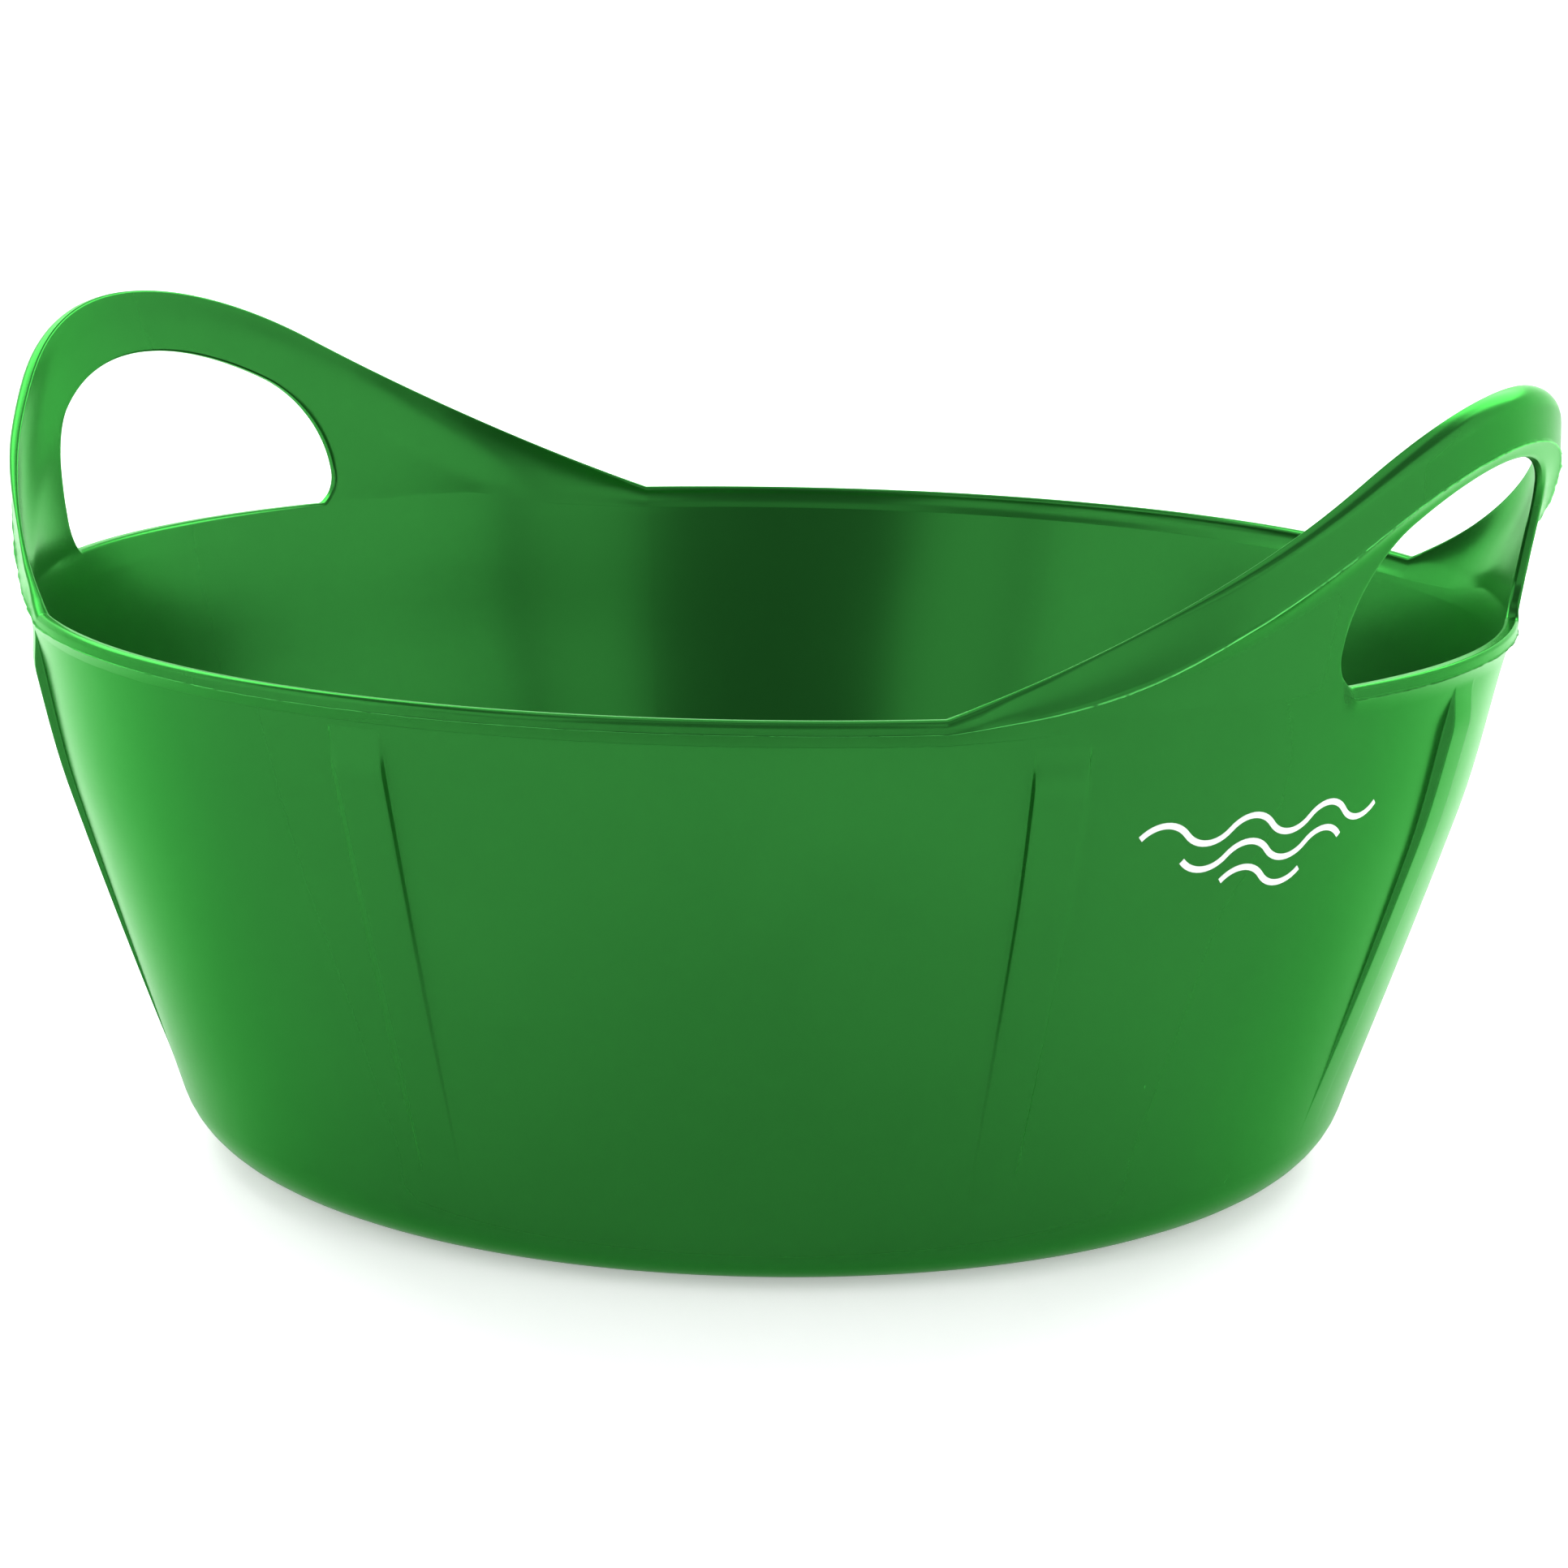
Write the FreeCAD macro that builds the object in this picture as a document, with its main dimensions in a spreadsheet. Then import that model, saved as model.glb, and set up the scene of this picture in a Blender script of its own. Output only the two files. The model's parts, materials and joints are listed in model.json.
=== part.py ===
"""Shallow flexible utility tub with two moulded strap handles, as a parametric FreeCAD document.

The frame: origin at the centre of the floor's underside, +Z up, the two handles on the X axis.
All lengths are millimetres and all angles are degrees.
"""
import FreeCAD, Part
import math
import os
import Sketcher

V = FreeCAD.Vector
SHEET = "Sizes"

doc = FreeCAD.newDocument("utility_tub")
sheet = doc.addObject("Spreadsheet::Sheet", SHEET)
finished = []


class Dim:
    """A size that knows its value and the sheet formula that gives it."""

    def __init__(self, value, text):
        self.value = value
        self.text = text

    def __add__(self, other):
        other = as_dim(other)
        return Dim(self.value + other.value, f"({self.text} + {other.text})")

    def __sub__(self, other):
        other = as_dim(other)
        return Dim(self.value - other.value, f"({self.text} - {other.text})")

    def __mul__(self, other):
        other = as_dim(other)
        return Dim(self.value * other.value, f"({self.text} * {other.text})")

    def __truediv__(self, other):
        other = as_dim(other)
        return Dim(self.value / other.value, f"({self.text} / {other.text})")

    def __neg__(self):
        return Dim(-self.value, f"(0 - {self.text})")


def as_dim(number):
    """A plain number as a Dim."""
    return number if isinstance(number, Dim) else Dim(float(number), repr(float(number)))


def root(size):
    """Square root of a Dim."""
    return Dim(math.sqrt(size.value), f"sqrt({size.text})")


def sine(angle):
    """Sine of a Dim in degrees."""
    return Dim(math.sin(math.radians(angle.value)), f"sin({angle.text})")


def cosine(angle):
    """Cosine of a Dim in degrees."""
    return Dim(math.cos(math.radians(angle.value)), f"cos({angle.text})")


def tangent(angle):
    """Tangent of a Dim in degrees."""
    return Dim(math.tan(math.radians(angle.value)), f"tan({angle.text})")


rows = iter(range(1, 100))


def driving(name, value):
    """Writes one driving dimension to the sheet and gives it back as a Dim."""
    row = next(rows)
    sheet.set(f"A{row}", name.replace("_", " "))
    sheet.set(f"B{row}", str(value))
    sheet.setAlias(f"B{row}", name)
    return Dim(float(value), f"{SHEET}.{name}")


# Tub
rim_radius = driving("rim_radius", 200)
rim_height = driving("rim_height", 148)
base_radius = driving("base_radius", 152.3)
corner_radius = driving("corner_radius", 23)
wall_thickness = driving("wall_thickness", 3)
floor_thickness = driving("floor_thickness", 3)
floor_part_height = driving("floor_part_height", 20)

# Rim lip
lip_depth = driving("lip_depth", 8)
bead_height = driving("bead_height", 3)
bead_projection = driving("bead_projection", 0.6)
lip_edge_radius = driving("lip_edge_radius", 0.9)

# Outside ribs
rib_width_angle = driving("rib_width_angle", 4)
rib_projection = driving("rib_projection", 1.6)
rib_base_height = driving("rib_base_height", 30)
rib_crest_drop = driving("rib_crest_drop", 20)
rib_top_drop = driving("rib_top_drop", 9)
rib_side_angle = driving("rib_side_angle", 41.5)
RIB_ROOT = 1.0

# Handles
handle_reach = driving("handle_reach", 153.5)
handle_slope = driving("handle_slope", 30)
handle_rise = driving("handle_rise", 66.5)
handle_flare = driving("handle_flare", 0.2)
flash_height = driving("flash_height", 51)
shoulder_radius = driving("shoulder_radius", 5.5)
band_width = driving("band_width", 12.5)
band_projection = driving("band_projection", 1.5)
band_taper_reach = driving("band_taper_reach", 105)
flex_height = driving("flex_height", 30)
hole_half_width = driving("hole_half_width", 65)
hole_rise = driving("hole_rise", 49)
hole_crown_radius = driving("hole_crown_radius", 105)
hole_side_radius = driving("hole_side_radius", 32)
hole_sink = driving("hole_sink", 1.5)

# Printed mark
mark_angle = driving("mark_angle", -22.8)
mark_drop = driving("mark_drop", 38)
mark_pitch = driving("mark_pitch", 6.5)
wave_chord = driving("wave_chord", 13)
wave_radius = driving("wave_radius", 9)
stroke_width = driving("stroke_width", 2)
ink_thickness = driving("ink_thickness", 0.15)
WAVE_HUMPS = (6, 4, 2)

doc.recompute()

# Sizes that follow from the driving ones
zero = as_dim(0)
taper = (rim_radius - base_radius) / rim_height
slant = root(taper * taper + 1)
lip_start = rim_height - lip_depth
flash_radius = rim_radius + handle_flare * flash_height
band_radius = flash_radius + band_projection
ridge_radius = band_radius - shoulder_radius
handle_top = rim_height + handle_rise
mark_height = rim_height - mark_drop
EXTRUSION_LENGTH = rim_radius * 2


def wall_radius(height):
    """Outside radius of the tapered wall at a height."""
    return base_radius + taper * height


def bulged_arc(start, end, radius, turn):
    """An arc from start to end, counter-clockwise if turn is 1 and clockwise if it is -1."""
    chord = end - start
    half = chord.Length / 2
    rise = radius - math.sqrt(max(radius * radius - half * half, 0))
    outward = V(chord.y, -chord.x, 0).normalize() * turn
    middle = (start + end) / 2 + outward * rise
    if turn > 0:
        return Part.Arc(start, middle, end)
    return Part.Arc(end, middle, start)


def add_outline(sketch, corners, arcs=None):
    """Draws one closed outline.

    corners are (across, up) pairs of Dims; arcs gives (radius, turn) for an edge by its index.
    Every corner is tied to the sketch's origin, and every arc to its radius, by sheet formulas.
    """
    arcs = arcs or {}
    count = len(corners)
    places = [V(across.value, up.value, 0) for across, up in corners]
    ends = []
    for index in range(count):
        start, end = places[index], places[(index + 1) % count]
        if index in arcs:
            radius, turn = arcs[index]
            edge = sketch.addGeometry(bulged_arc(start, end, radius.value, turn), False)
            ends.append((edge, 1, 2) if turn > 0 else (edge, 2, 1))
        else:
            edge = sketch.addGeometry(Part.LineSegment(start, end), False)
            ends.append((edge, 1, 2))
    for index in range(count):
        edge, start_point, _ = ends[index]
        before, _, end_point = ends[index - 1]
        sketch.addConstraint(Sketcher.Constraint("Coincident", before, end_point, edge, start_point))
    for index, (across, up) in enumerate(corners):
        edge, start_point, _ = ends[index]
        tie_coordinate(sketch, "DistanceX", edge, start_point, across, -2)
        tie_coordinate(sketch, "DistanceY", edge, start_point, up, -1)
    for index, (radius, _) in arcs.items():
        edge = ends[index][0]
        place = sketch.addConstraint(Sketcher.Constraint("Radius", edge, radius.value))
        sketch.setExpression(f"Constraints[{place}]", radius.text)


def tie_coordinate(sketch, kind, edge, point, size, axis):
    """Ties one coordinate of a corner to its formula, or to the axis where it is nought."""
    if size.value == 0:
        sketch.addConstraint(Sketcher.Constraint("PointOnObject", edge, point, axis))
        return
    place = sketch.addConstraint(Sketcher.Constraint(kind, edge, point, size.value))
    sketch.setExpression(f"Constraints[{place}]", size.text)


def body_plane(body, role):
    """One of a body's own origin planes."""
    return next(item for item in body.Origin.OriginFeatures if item.Role == role)


def body_sketch(body, name, corners, arcs=None, turned=None):
    """A sketch of radius and height on a body's XZ plane, turned about Z where an angle is given."""
    sketch = body.newObject("Sketcher::SketchObject", name)
    sketch.AttachmentSupport = [(body_plane(body, "XZ_Plane"), "")]
    sketch.MapMode = "FlatFace"
    if turned is not None:
        sketch.AttachmentOffset = FreeCAD.Placement(V(0, 0, 0), FreeCAD.Rotation(V(0, 1, 0), turned.value))
        sketch.setExpression("AttachmentOffset.Rotation.Angle", turned.text)
    add_outline(sketch, corners, arcs)
    return sketch


def revolve_in_body(body, name, sketch, angle=None):
    """Turns a body's sketch about the Z axis, all round or through a narrow angle."""
    feature = body.newObject("PartDesign::Revolution", name)
    feature.Profile = sketch
    feature.ReferenceAxis = (sketch, ["V_Axis"])
    feature.Angle = 360
    if angle is not None:
        feature.Midplane = True
        feature.setExpression("Angle", angle.text)
    return feature


def free_sketch(name, rotation, *outlines):
    """A sketch of one or more outlines outside any body, on a plane through the origin."""
    sketch = doc.addObject("Sketcher::SketchObject", name)
    sketch.Placement = FreeCAD.Placement(V(0, 0, 0), rotation)
    for corners, arcs in outlines:
        add_outline(sketch, corners, arcs)
    return sketch


SECTION_PLANE = FreeCAD.Rotation(V(1, 0, 0), 90)
SIDE_PLANE = FreeCAD.Rotation(V(1, 1, 1), 120)


def turned_section(name, corners, arcs, angle):
    """A solid of revolution about Z, reaching the same angle to each side of the +X axis."""
    turned = doc.addObject("Part::Revolution", name)
    turned.Source = free_sketch(name + "_section", SECTION_PLANE, (corners, arcs))
    turned.Axis = V(0, 0, 1)
    turned.Base = V(0, 0, 0)
    turned.Angle = angle
    turned.Symmetric = True
    turned.Solid = True
    return turned


def side_prism(name, corners, arcs):
    """A prism along +X with an outline of Y and Z."""
    prism = doc.addObject("Part::Extrusion", name)
    prism.Base = free_sketch(name + "_outline", SIDE_PLANE, (corners, arcs))
    prism.DirMode = "Custom"
    prism.Dir = V(1, 0, 0)
    prism.setExpression("LengthFwd", EXTRUSION_LENGTH.text)
    prism.Solid = True
    return prism


def combine(kind, name, *parts):
    """A Part boolean of two objects, or a fusion of several."""
    result = doc.addObject(kind, name)
    if kind == "Part::MultiFuse":
        result.Shapes = list(parts)
    else:
        result.Base, result.Tool = parts
    return result


def finish(feature, label):
    """Names a sub-part, and lists it to be written."""
    feature.Label = label
    finished.append(feature)
    return feature


def make_floor():
    """The flat floor with its rounded corner and the first stretch of wall."""
    corner_run = corner_radius / (slant + taper)
    inner_radius = corner_radius - wall_thickness
    inner_run = inner_radius / (slant + taper)
    inner_base = base_radius - wall_thickness + taper * floor_thickness
    outer_edge = wall_radius(floor_part_height)
    corners = [
        (zero, zero),
        (base_radius - corner_run, zero),
        (base_radius + corner_run * taper / slant, corner_run / slant),
        (outer_edge, floor_part_height),
        (outer_edge - wall_thickness, floor_part_height),
        (inner_base + inner_run * taper / slant, floor_thickness + inner_run / slant),
        (inner_base - inner_run, floor_thickness),
        (zero, floor_thickness),
    ]
    arcs = {1: (corner_radius, 1), 5: (inner_radius, -1)}
    body = doc.addObject("PartDesign::Body", "FloorBody")
    sketch = body_sketch(body, "floor_section", corners, arcs)
    revolve_in_body(body, "floor_turn", sketch)
    finish(body, "tub_floor")


def make_wall():
    """The tapered side wall with its eight shallow outside ribs."""
    corners = [
        (wall_radius(floor_part_height), floor_part_height),
        (wall_radius(lip_start), lip_start),
        (wall_radius(lip_start) - wall_thickness, lip_start),
        (wall_radius(floor_part_height) - wall_thickness, floor_part_height),
    ]
    body = doc.addObject("PartDesign::Body", "WallBody")
    sketch = body_sketch(body, "wall_section", corners)
    revolve_in_body(body, "wall_turn", sketch)
    quarter = as_dim(90)
    half = as_dim(180)
    angles = [zero + 0, rib_side_angle, quarter, half - rib_side_angle]
    angles += [half, rib_side_angle + half, quarter * 3, half * 2 - rib_side_angle]
    for number, angle in enumerate(angles, start=1):
        add_rib(body, number, angle)
    finish(body, "side_wall")


def add_rib(body, number, angle):
    """One rib: a narrow wedge that rises from the wall near the floor to a crest under the rim."""
    crest = rim_height - rib_crest_drop
    top = rim_height - rib_top_drop
    corners = [
        (wall_radius(rib_base_height), rib_base_height),
        (wall_radius(crest) + rib_projection, crest),
        (wall_radius(top), top),
        (wall_radius(top) - RIB_ROOT, top),
        (wall_radius(rib_base_height) - RIB_ROOT, rib_base_height),
    ]
    sketch = body_sketch(body, f"rib_section_{number}", corners, None, angle)
    revolve_in_body(body, f"rib_turn_{number}", sketch, rib_width_angle)


def make_lip():
    """The rim lip: the wall's last stretch, a small bead outside and a flat top with eased edges."""
    bead_radius = rim_radius + bead_projection
    bead_start = rim_height - bead_height
    top_outer = rim_radius - lip_edge_radius * 0.5
    top_inner = rim_radius - wall_thickness
    corners = [
        (wall_radius(lip_start), lip_start),
        (bead_radius, bead_start),
        (bead_radius, rim_height - lip_edge_radius),
        (top_outer, rim_height),
        (top_inner, rim_height),
        (top_inner - lip_edge_radius, rim_height - lip_edge_radius),
        (wall_radius(lip_start) - wall_thickness, lip_start),
    ]
    body = doc.addObject("PartDesign::Body", "LipBody")
    sketch = body_sketch(body, "lip_section", corners)
    revolve_in_body(body, "lip_turn", sketch)
    finish(body, "rim_lip")


def crown(offset):
    """Half width and height where a line parallel to the handle's slope meets its crown arc."""
    crown_radius = (handle_reach * tangent(handle_slope) - handle_rise) / (as_dim(1) / cosine(handle_slope) - 1)
    radius = crown_radius - offset
    centre = handle_top - crown_radius
    return radius, radius * sine(handle_slope), centre + radius * cosine(handle_slope)


def make_handle():
    """The right handle, split at its flex line into the two fixed legs and the moving grip."""
    web = handle_web()
    band = handle_band()
    whole = combine("Part::MultiFuse", "handle_blank", web, band)
    opened = combine("Part::Cut", "handle_opened", whole, hand_hole())
    lower = split_block("leg_block", rim_height, flex_height)
    upper = split_block("grip_block", rim_height + flex_height, handle_rise)
    legs = combine("Part::Common", "RightLegs", opened, lower)
    grip = combine("Part::Common", "RightGrip", opened, upper)
    finish(legs, "handle_right_legs")
    finish(grip, "handle_right_grip")
    finish(mirrored(legs, "LeftLegs"), "handle_left_legs")
    finish(mirrored(grip, "LeftGrip"), "handle_left_grip")


def handle_web():
    """The flared web of the handle, as thick as the wall."""
    foot = rim_radius - wall_thickness
    corners = [
        (foot, rim_height),
        (rim_radius, rim_height),
        (flash_radius, rim_height + flash_height),
        (flash_radius, handle_top - band_projection),
        (ridge_radius, handle_top),
        (flash_radius - wall_thickness, rim_height + flash_height),
    ]
    radius, across, up = crown(zero)
    outline = [(-handle_reach, rim_height), (handle_reach, rim_height), (across, up), (-across, up)]
    shell = turned_section("web_turn", corners, None, 150)
    prism = side_prism("web_prism", outline, {2: (radius, 1)})
    return combine("Part::Common", "handle_web", shell, prism)


def handle_band():
    """The thicker grip band along the handle's top edge, down to the moulding's parting line."""
    foot = rim_radius - wall_thickness
    corners = [
        (foot, rim_height),
        (rim_radius + band_projection, rim_height),
        (band_radius, rim_height + flash_height),
        (band_radius, handle_top - shoulder_radius),
        (ridge_radius, handle_top),
        (flash_radius - wall_thickness, rim_height + flash_height),
    ]
    radius, across, up = crown(zero)
    inner_radius, inner_across, inner_up = crown(band_width)
    slope = tangent(handle_slope)
    taper_up = rim_height + slope * (handle_reach - band_taper_reach) - band_width / cosine(handle_slope)
    run = (taper_up - rim_height + bead_height) / (handle_reach - band_taper_reach)
    toe = handle_reach - bead_height / run
    outline = [
        (toe, rim_height),
        (handle_reach, rim_height),
        (across, up),
        (-across, up),
        (-handle_reach, rim_height),
        (-toe, rim_height),
        (-band_taper_reach, taper_up),
        (-inner_across, inner_up),
        (inner_across, inner_up),
        (band_taper_reach, taper_up),
    ]
    arcs = {2: (radius, 1), 7: (inner_radius, -1)}
    shell = turned_section("band_turn", corners, {3: (shoulder_radius, 1)}, 150)
    prism = side_prism("band_prism", outline, arcs)
    return combine("Part::Common", "handle_band", shell, prism)


def hand_hole():
    """The D-shaped hand hole, cut along X; its lower corners run out just below the rim."""
    side_reach = hole_crown_radius - hole_side_radius
    side_centre = hole_half_width - hole_side_radius
    centre_drop = root(side_reach * side_reach - side_centre * side_centre)
    waist = hole_rise - hole_crown_radius + centre_drop
    corner = waist + hole_sink
    across = side_centre * hole_crown_radius / side_reach
    up = rim_height + hole_rise - hole_crown_radius + centre_drop * hole_crown_radius / side_reach
    bottom = rim_height - hole_sink
    outline = [
        (-(hole_half_width - corner), bottom),
        (hole_half_width - corner, bottom),
        (hole_half_width, rim_height + waist),
        (across, up),
        (-across, up),
        (-hole_half_width, rim_height + waist),
    ]
    arcs = {
        1: (corner, 1),
        2: (hole_side_radius, 1),
        3: (hole_crown_radius, 1),
        4: (hole_side_radius, 1),
        5: (corner, 1),
    }
    return side_prism("hand_hole", outline, arcs)


def split_block(name, start, height):
    """A block over the +X half of the tub that keeps the handle between two heights."""
    block = doc.addObject("Part::Box", name)
    block.setExpression("Length", EXTRUSION_LENGTH.text)
    block.setExpression("Width", EXTRUSION_LENGTH.text)
    block.setExpression("Height", height.text)
    block.setExpression("Placement.Base.y", (-(EXTRUSION_LENGTH / 2)).text)
    block.setExpression("Placement.Base.z", start.text)
    return block


def mirrored(feature, name):
    """The same feature on the -X side."""
    mirror = doc.addObject("Part::Mirroring", name)
    mirror.Source = feature
    mirror.Normal = V(1, 0, 0)
    mirror.Base = V(0, 0, 0)
    return mirror


def wave_outline(humps, middle):
    """One wavy stroke of evenly bent humps, centred across, at a height, in step with the longest."""
    half_chord = wave_chord / 2
    half_stroke = stroke_width / 2
    lean_across = half_chord / wave_radius * half_stroke
    lean_up = root(wave_radius * wave_radius - half_chord * half_chord) / wave_radius * half_stroke
    left = -(wave_chord * (humps / 2))
    skipped = (max(WAVE_HUMPS) - humps) // 2
    below, above = [], []
    for joint in range(humps + 1):
        across = left + wave_chord * joint
        side = 1 if (joint + skipped) % 2 == 0 else -1
        below.append((across + lean_across * side, middle - lean_up))
        above.append((across - lean_across * side, middle + lean_up))
    arcs = {}
    for hump in range(humps):
        turn = -1 if (hump + skipped) % 2 == 0 else 1
        arcs[hump] = (wave_radius + half_stroke * turn, turn)
        back = 2 * humps - hump
        arcs[back] = (wave_radius - half_stroke * turn, -turn)
    return below + above[::-1], arcs


def make_mark():
    """The printed mark: three wavy strokes that lie on the wall as a film of ink."""
    reach = mark_pitch + wave_radius
    lowest = mark_height - reach
    highest = mark_height + reach
    corners = [
        (wall_radius(lowest), lowest),
        (wall_radius(lowest) + ink_thickness, lowest),
        (wall_radius(highest) + ink_thickness, highest),
        (wall_radius(highest), highest),
    ]
    film = turned_section("ink_turn", corners, None, 60)
    prisms = []
    for number, humps in enumerate(WAVE_HUMPS):
        outline, arcs = wave_outline(humps, mark_height + mark_pitch * (1 - number))
        prisms.append(side_prism(f"wave_{number + 1}", outline, arcs))
    strokes = combine("Part::MultiFuse", "wave_strokes", *prisms)
    mark = combine("Part::Common", "InkMark", film, strokes)
    mark.setExpression("Placement.Rotation.Angle", mark_angle.text)
    mark.Placement = FreeCAD.Placement(V(0, 0, 0), FreeCAD.Rotation(V(0, 0, 1), mark_angle.value))
    finish(mark, "printed_mark")


def check_document():
    """Stops at the first object that failed, and at any sub-part without a sound shape."""
    for item in doc.Objects:
        if "Invalid" in item.State or "Error" in item.State:
            raise RuntimeError(f"{item.Name} did not compute: {item.State}")
    for item in finished:
        if item.Shape.isNull() or not item.Shape.isValid() or item.Shape.Volume <= 0:
            raise RuntimeError(f"{item.Label} has no sound shape")


make_floor()
make_wall()
make_lip()
make_handle()
make_mark()
doc.recompute()
check_document()

os.makedirs("parts", exist_ok=True)
for item in finished:
    item.Shape.exportStep(f"parts/{item.Label}.step")
    box = item.Shape.BoundBox
    print(f"{item.Label}: {len(item.Shape.Solids)} solids, {item.Shape.Volume:.0f} mm3, "
          f"x {box.XMin:.1f}..{box.XMax:.1f}, y {box.YMin:.1f}..{box.YMax:.1f}, z {box.ZMin:.1f}..{box.ZMax:.1f}")
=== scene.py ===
"""Looks of the shallow flexible utility tub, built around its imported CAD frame.

The green moulding is one continuous skin. Its grid has columns, which are angles round the tub, and
rows, which are stations along the section: from the middle of the underside, up the outside, over
the rim and handles, down the inside to the middle of the floor. The skin is then cut into the same
pieces as the CAD model. Shape sizes are in millimetres, and Blender objects are in metres.
"""
import json
import logging
import math
from dataclasses import dataclass, field
from enum import Enum
from typing import Any, Dict, List, Optional, Sequence, Tuple, Union

import bpy
import numpy as np
from mathutils import Matrix, Vector

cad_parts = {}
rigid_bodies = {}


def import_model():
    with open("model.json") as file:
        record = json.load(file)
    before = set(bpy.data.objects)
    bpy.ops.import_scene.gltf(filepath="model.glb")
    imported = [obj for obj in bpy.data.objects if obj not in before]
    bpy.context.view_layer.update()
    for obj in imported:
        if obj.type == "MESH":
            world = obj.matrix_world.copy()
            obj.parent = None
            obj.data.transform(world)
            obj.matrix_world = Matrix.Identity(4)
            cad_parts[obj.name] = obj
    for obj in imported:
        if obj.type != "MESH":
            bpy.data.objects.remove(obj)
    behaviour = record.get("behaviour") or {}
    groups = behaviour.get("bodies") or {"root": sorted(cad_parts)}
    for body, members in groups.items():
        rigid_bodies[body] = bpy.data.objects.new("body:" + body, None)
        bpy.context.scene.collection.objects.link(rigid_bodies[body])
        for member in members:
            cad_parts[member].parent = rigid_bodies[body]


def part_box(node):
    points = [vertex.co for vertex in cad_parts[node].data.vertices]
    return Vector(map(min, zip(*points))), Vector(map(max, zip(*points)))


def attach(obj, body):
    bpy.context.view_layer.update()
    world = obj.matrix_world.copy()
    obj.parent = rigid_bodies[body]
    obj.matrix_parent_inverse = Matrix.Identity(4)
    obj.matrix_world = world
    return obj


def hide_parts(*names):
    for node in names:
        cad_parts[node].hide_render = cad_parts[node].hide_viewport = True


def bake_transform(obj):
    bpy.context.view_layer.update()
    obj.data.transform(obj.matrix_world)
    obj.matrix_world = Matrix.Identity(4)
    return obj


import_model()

LOG = logging.getLogger("utility_tub")
MM = 0.001
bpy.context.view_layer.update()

# Stations of the skin's rows: shares of the flat floor's radius, gaps in mm below the bottom of a hand
# hole, shares of a hole's rounded edge, and shares of the web between that edge and the parting line.
FLOOR_SHARES = (0.0, 0.12, 0.3, 0.5, 0.68, 0.82, 0.93)
LIP_GAPS = (7.2, 6.4, 5.6, 4.9, 4.3, 3.8, 3.4, 3.2, 3.0, 2.6, 2.1, 1.6, 1.2, 0.9, 0.6, 0.35, 0.15, 0.03, 0.0)
ROUND_SHARES = (0.0, 0.03, 0.17, 0.4, 0.7, 1.0)
WEB_SHARES = (0.15, 0.3, 0.43, 0.55, 0.65, 0.74, 0.81, 0.87, 0.92, 0.955, 0.98, 1.0)
BAND_SHARES = (0.05, 0.12, 0.3, 0.5, 0.7, 0.85, 1.0)
SHOULDER_TURNS = (12.0, 25.0, 38.0, 51.0, 64.0, 77.0, 90.0)
INNER_TURNS = (0.0, 22.5, 45.0, 67.5, 90.0)
BURR_WAVES = (23, 41, 67, 101, 149, 211, 307)
CORNER_STEPS = 11

Array = np.ndarray
Face = Tuple[int, ...]
Colour = Tuple[float, float, float, float]


def smooth(values: Union[float, Array]) -> Array:
    """An S-shaped ramp from 0 to 1.

    Args:
        values: Numbers, held between 0 and 1.

    Returns:
        The ramp at each number.
    """
    held = np.clip(values, 0.0, 1.0)
    return held * held * (3.0 - 2.0 * held)


def mix(first: Array, second: Array, share: Array) -> Array:
    """The blend of two arrays, where share 0 is the first and 1 the second."""
    return first + (second - first) * share


def node_top(node: str) -> float:
    """Height of a CAD node's top, in mm."""
    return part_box(node)[1][2] / MM


# ---------------------------------------------------------------------------------------- shapes


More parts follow.
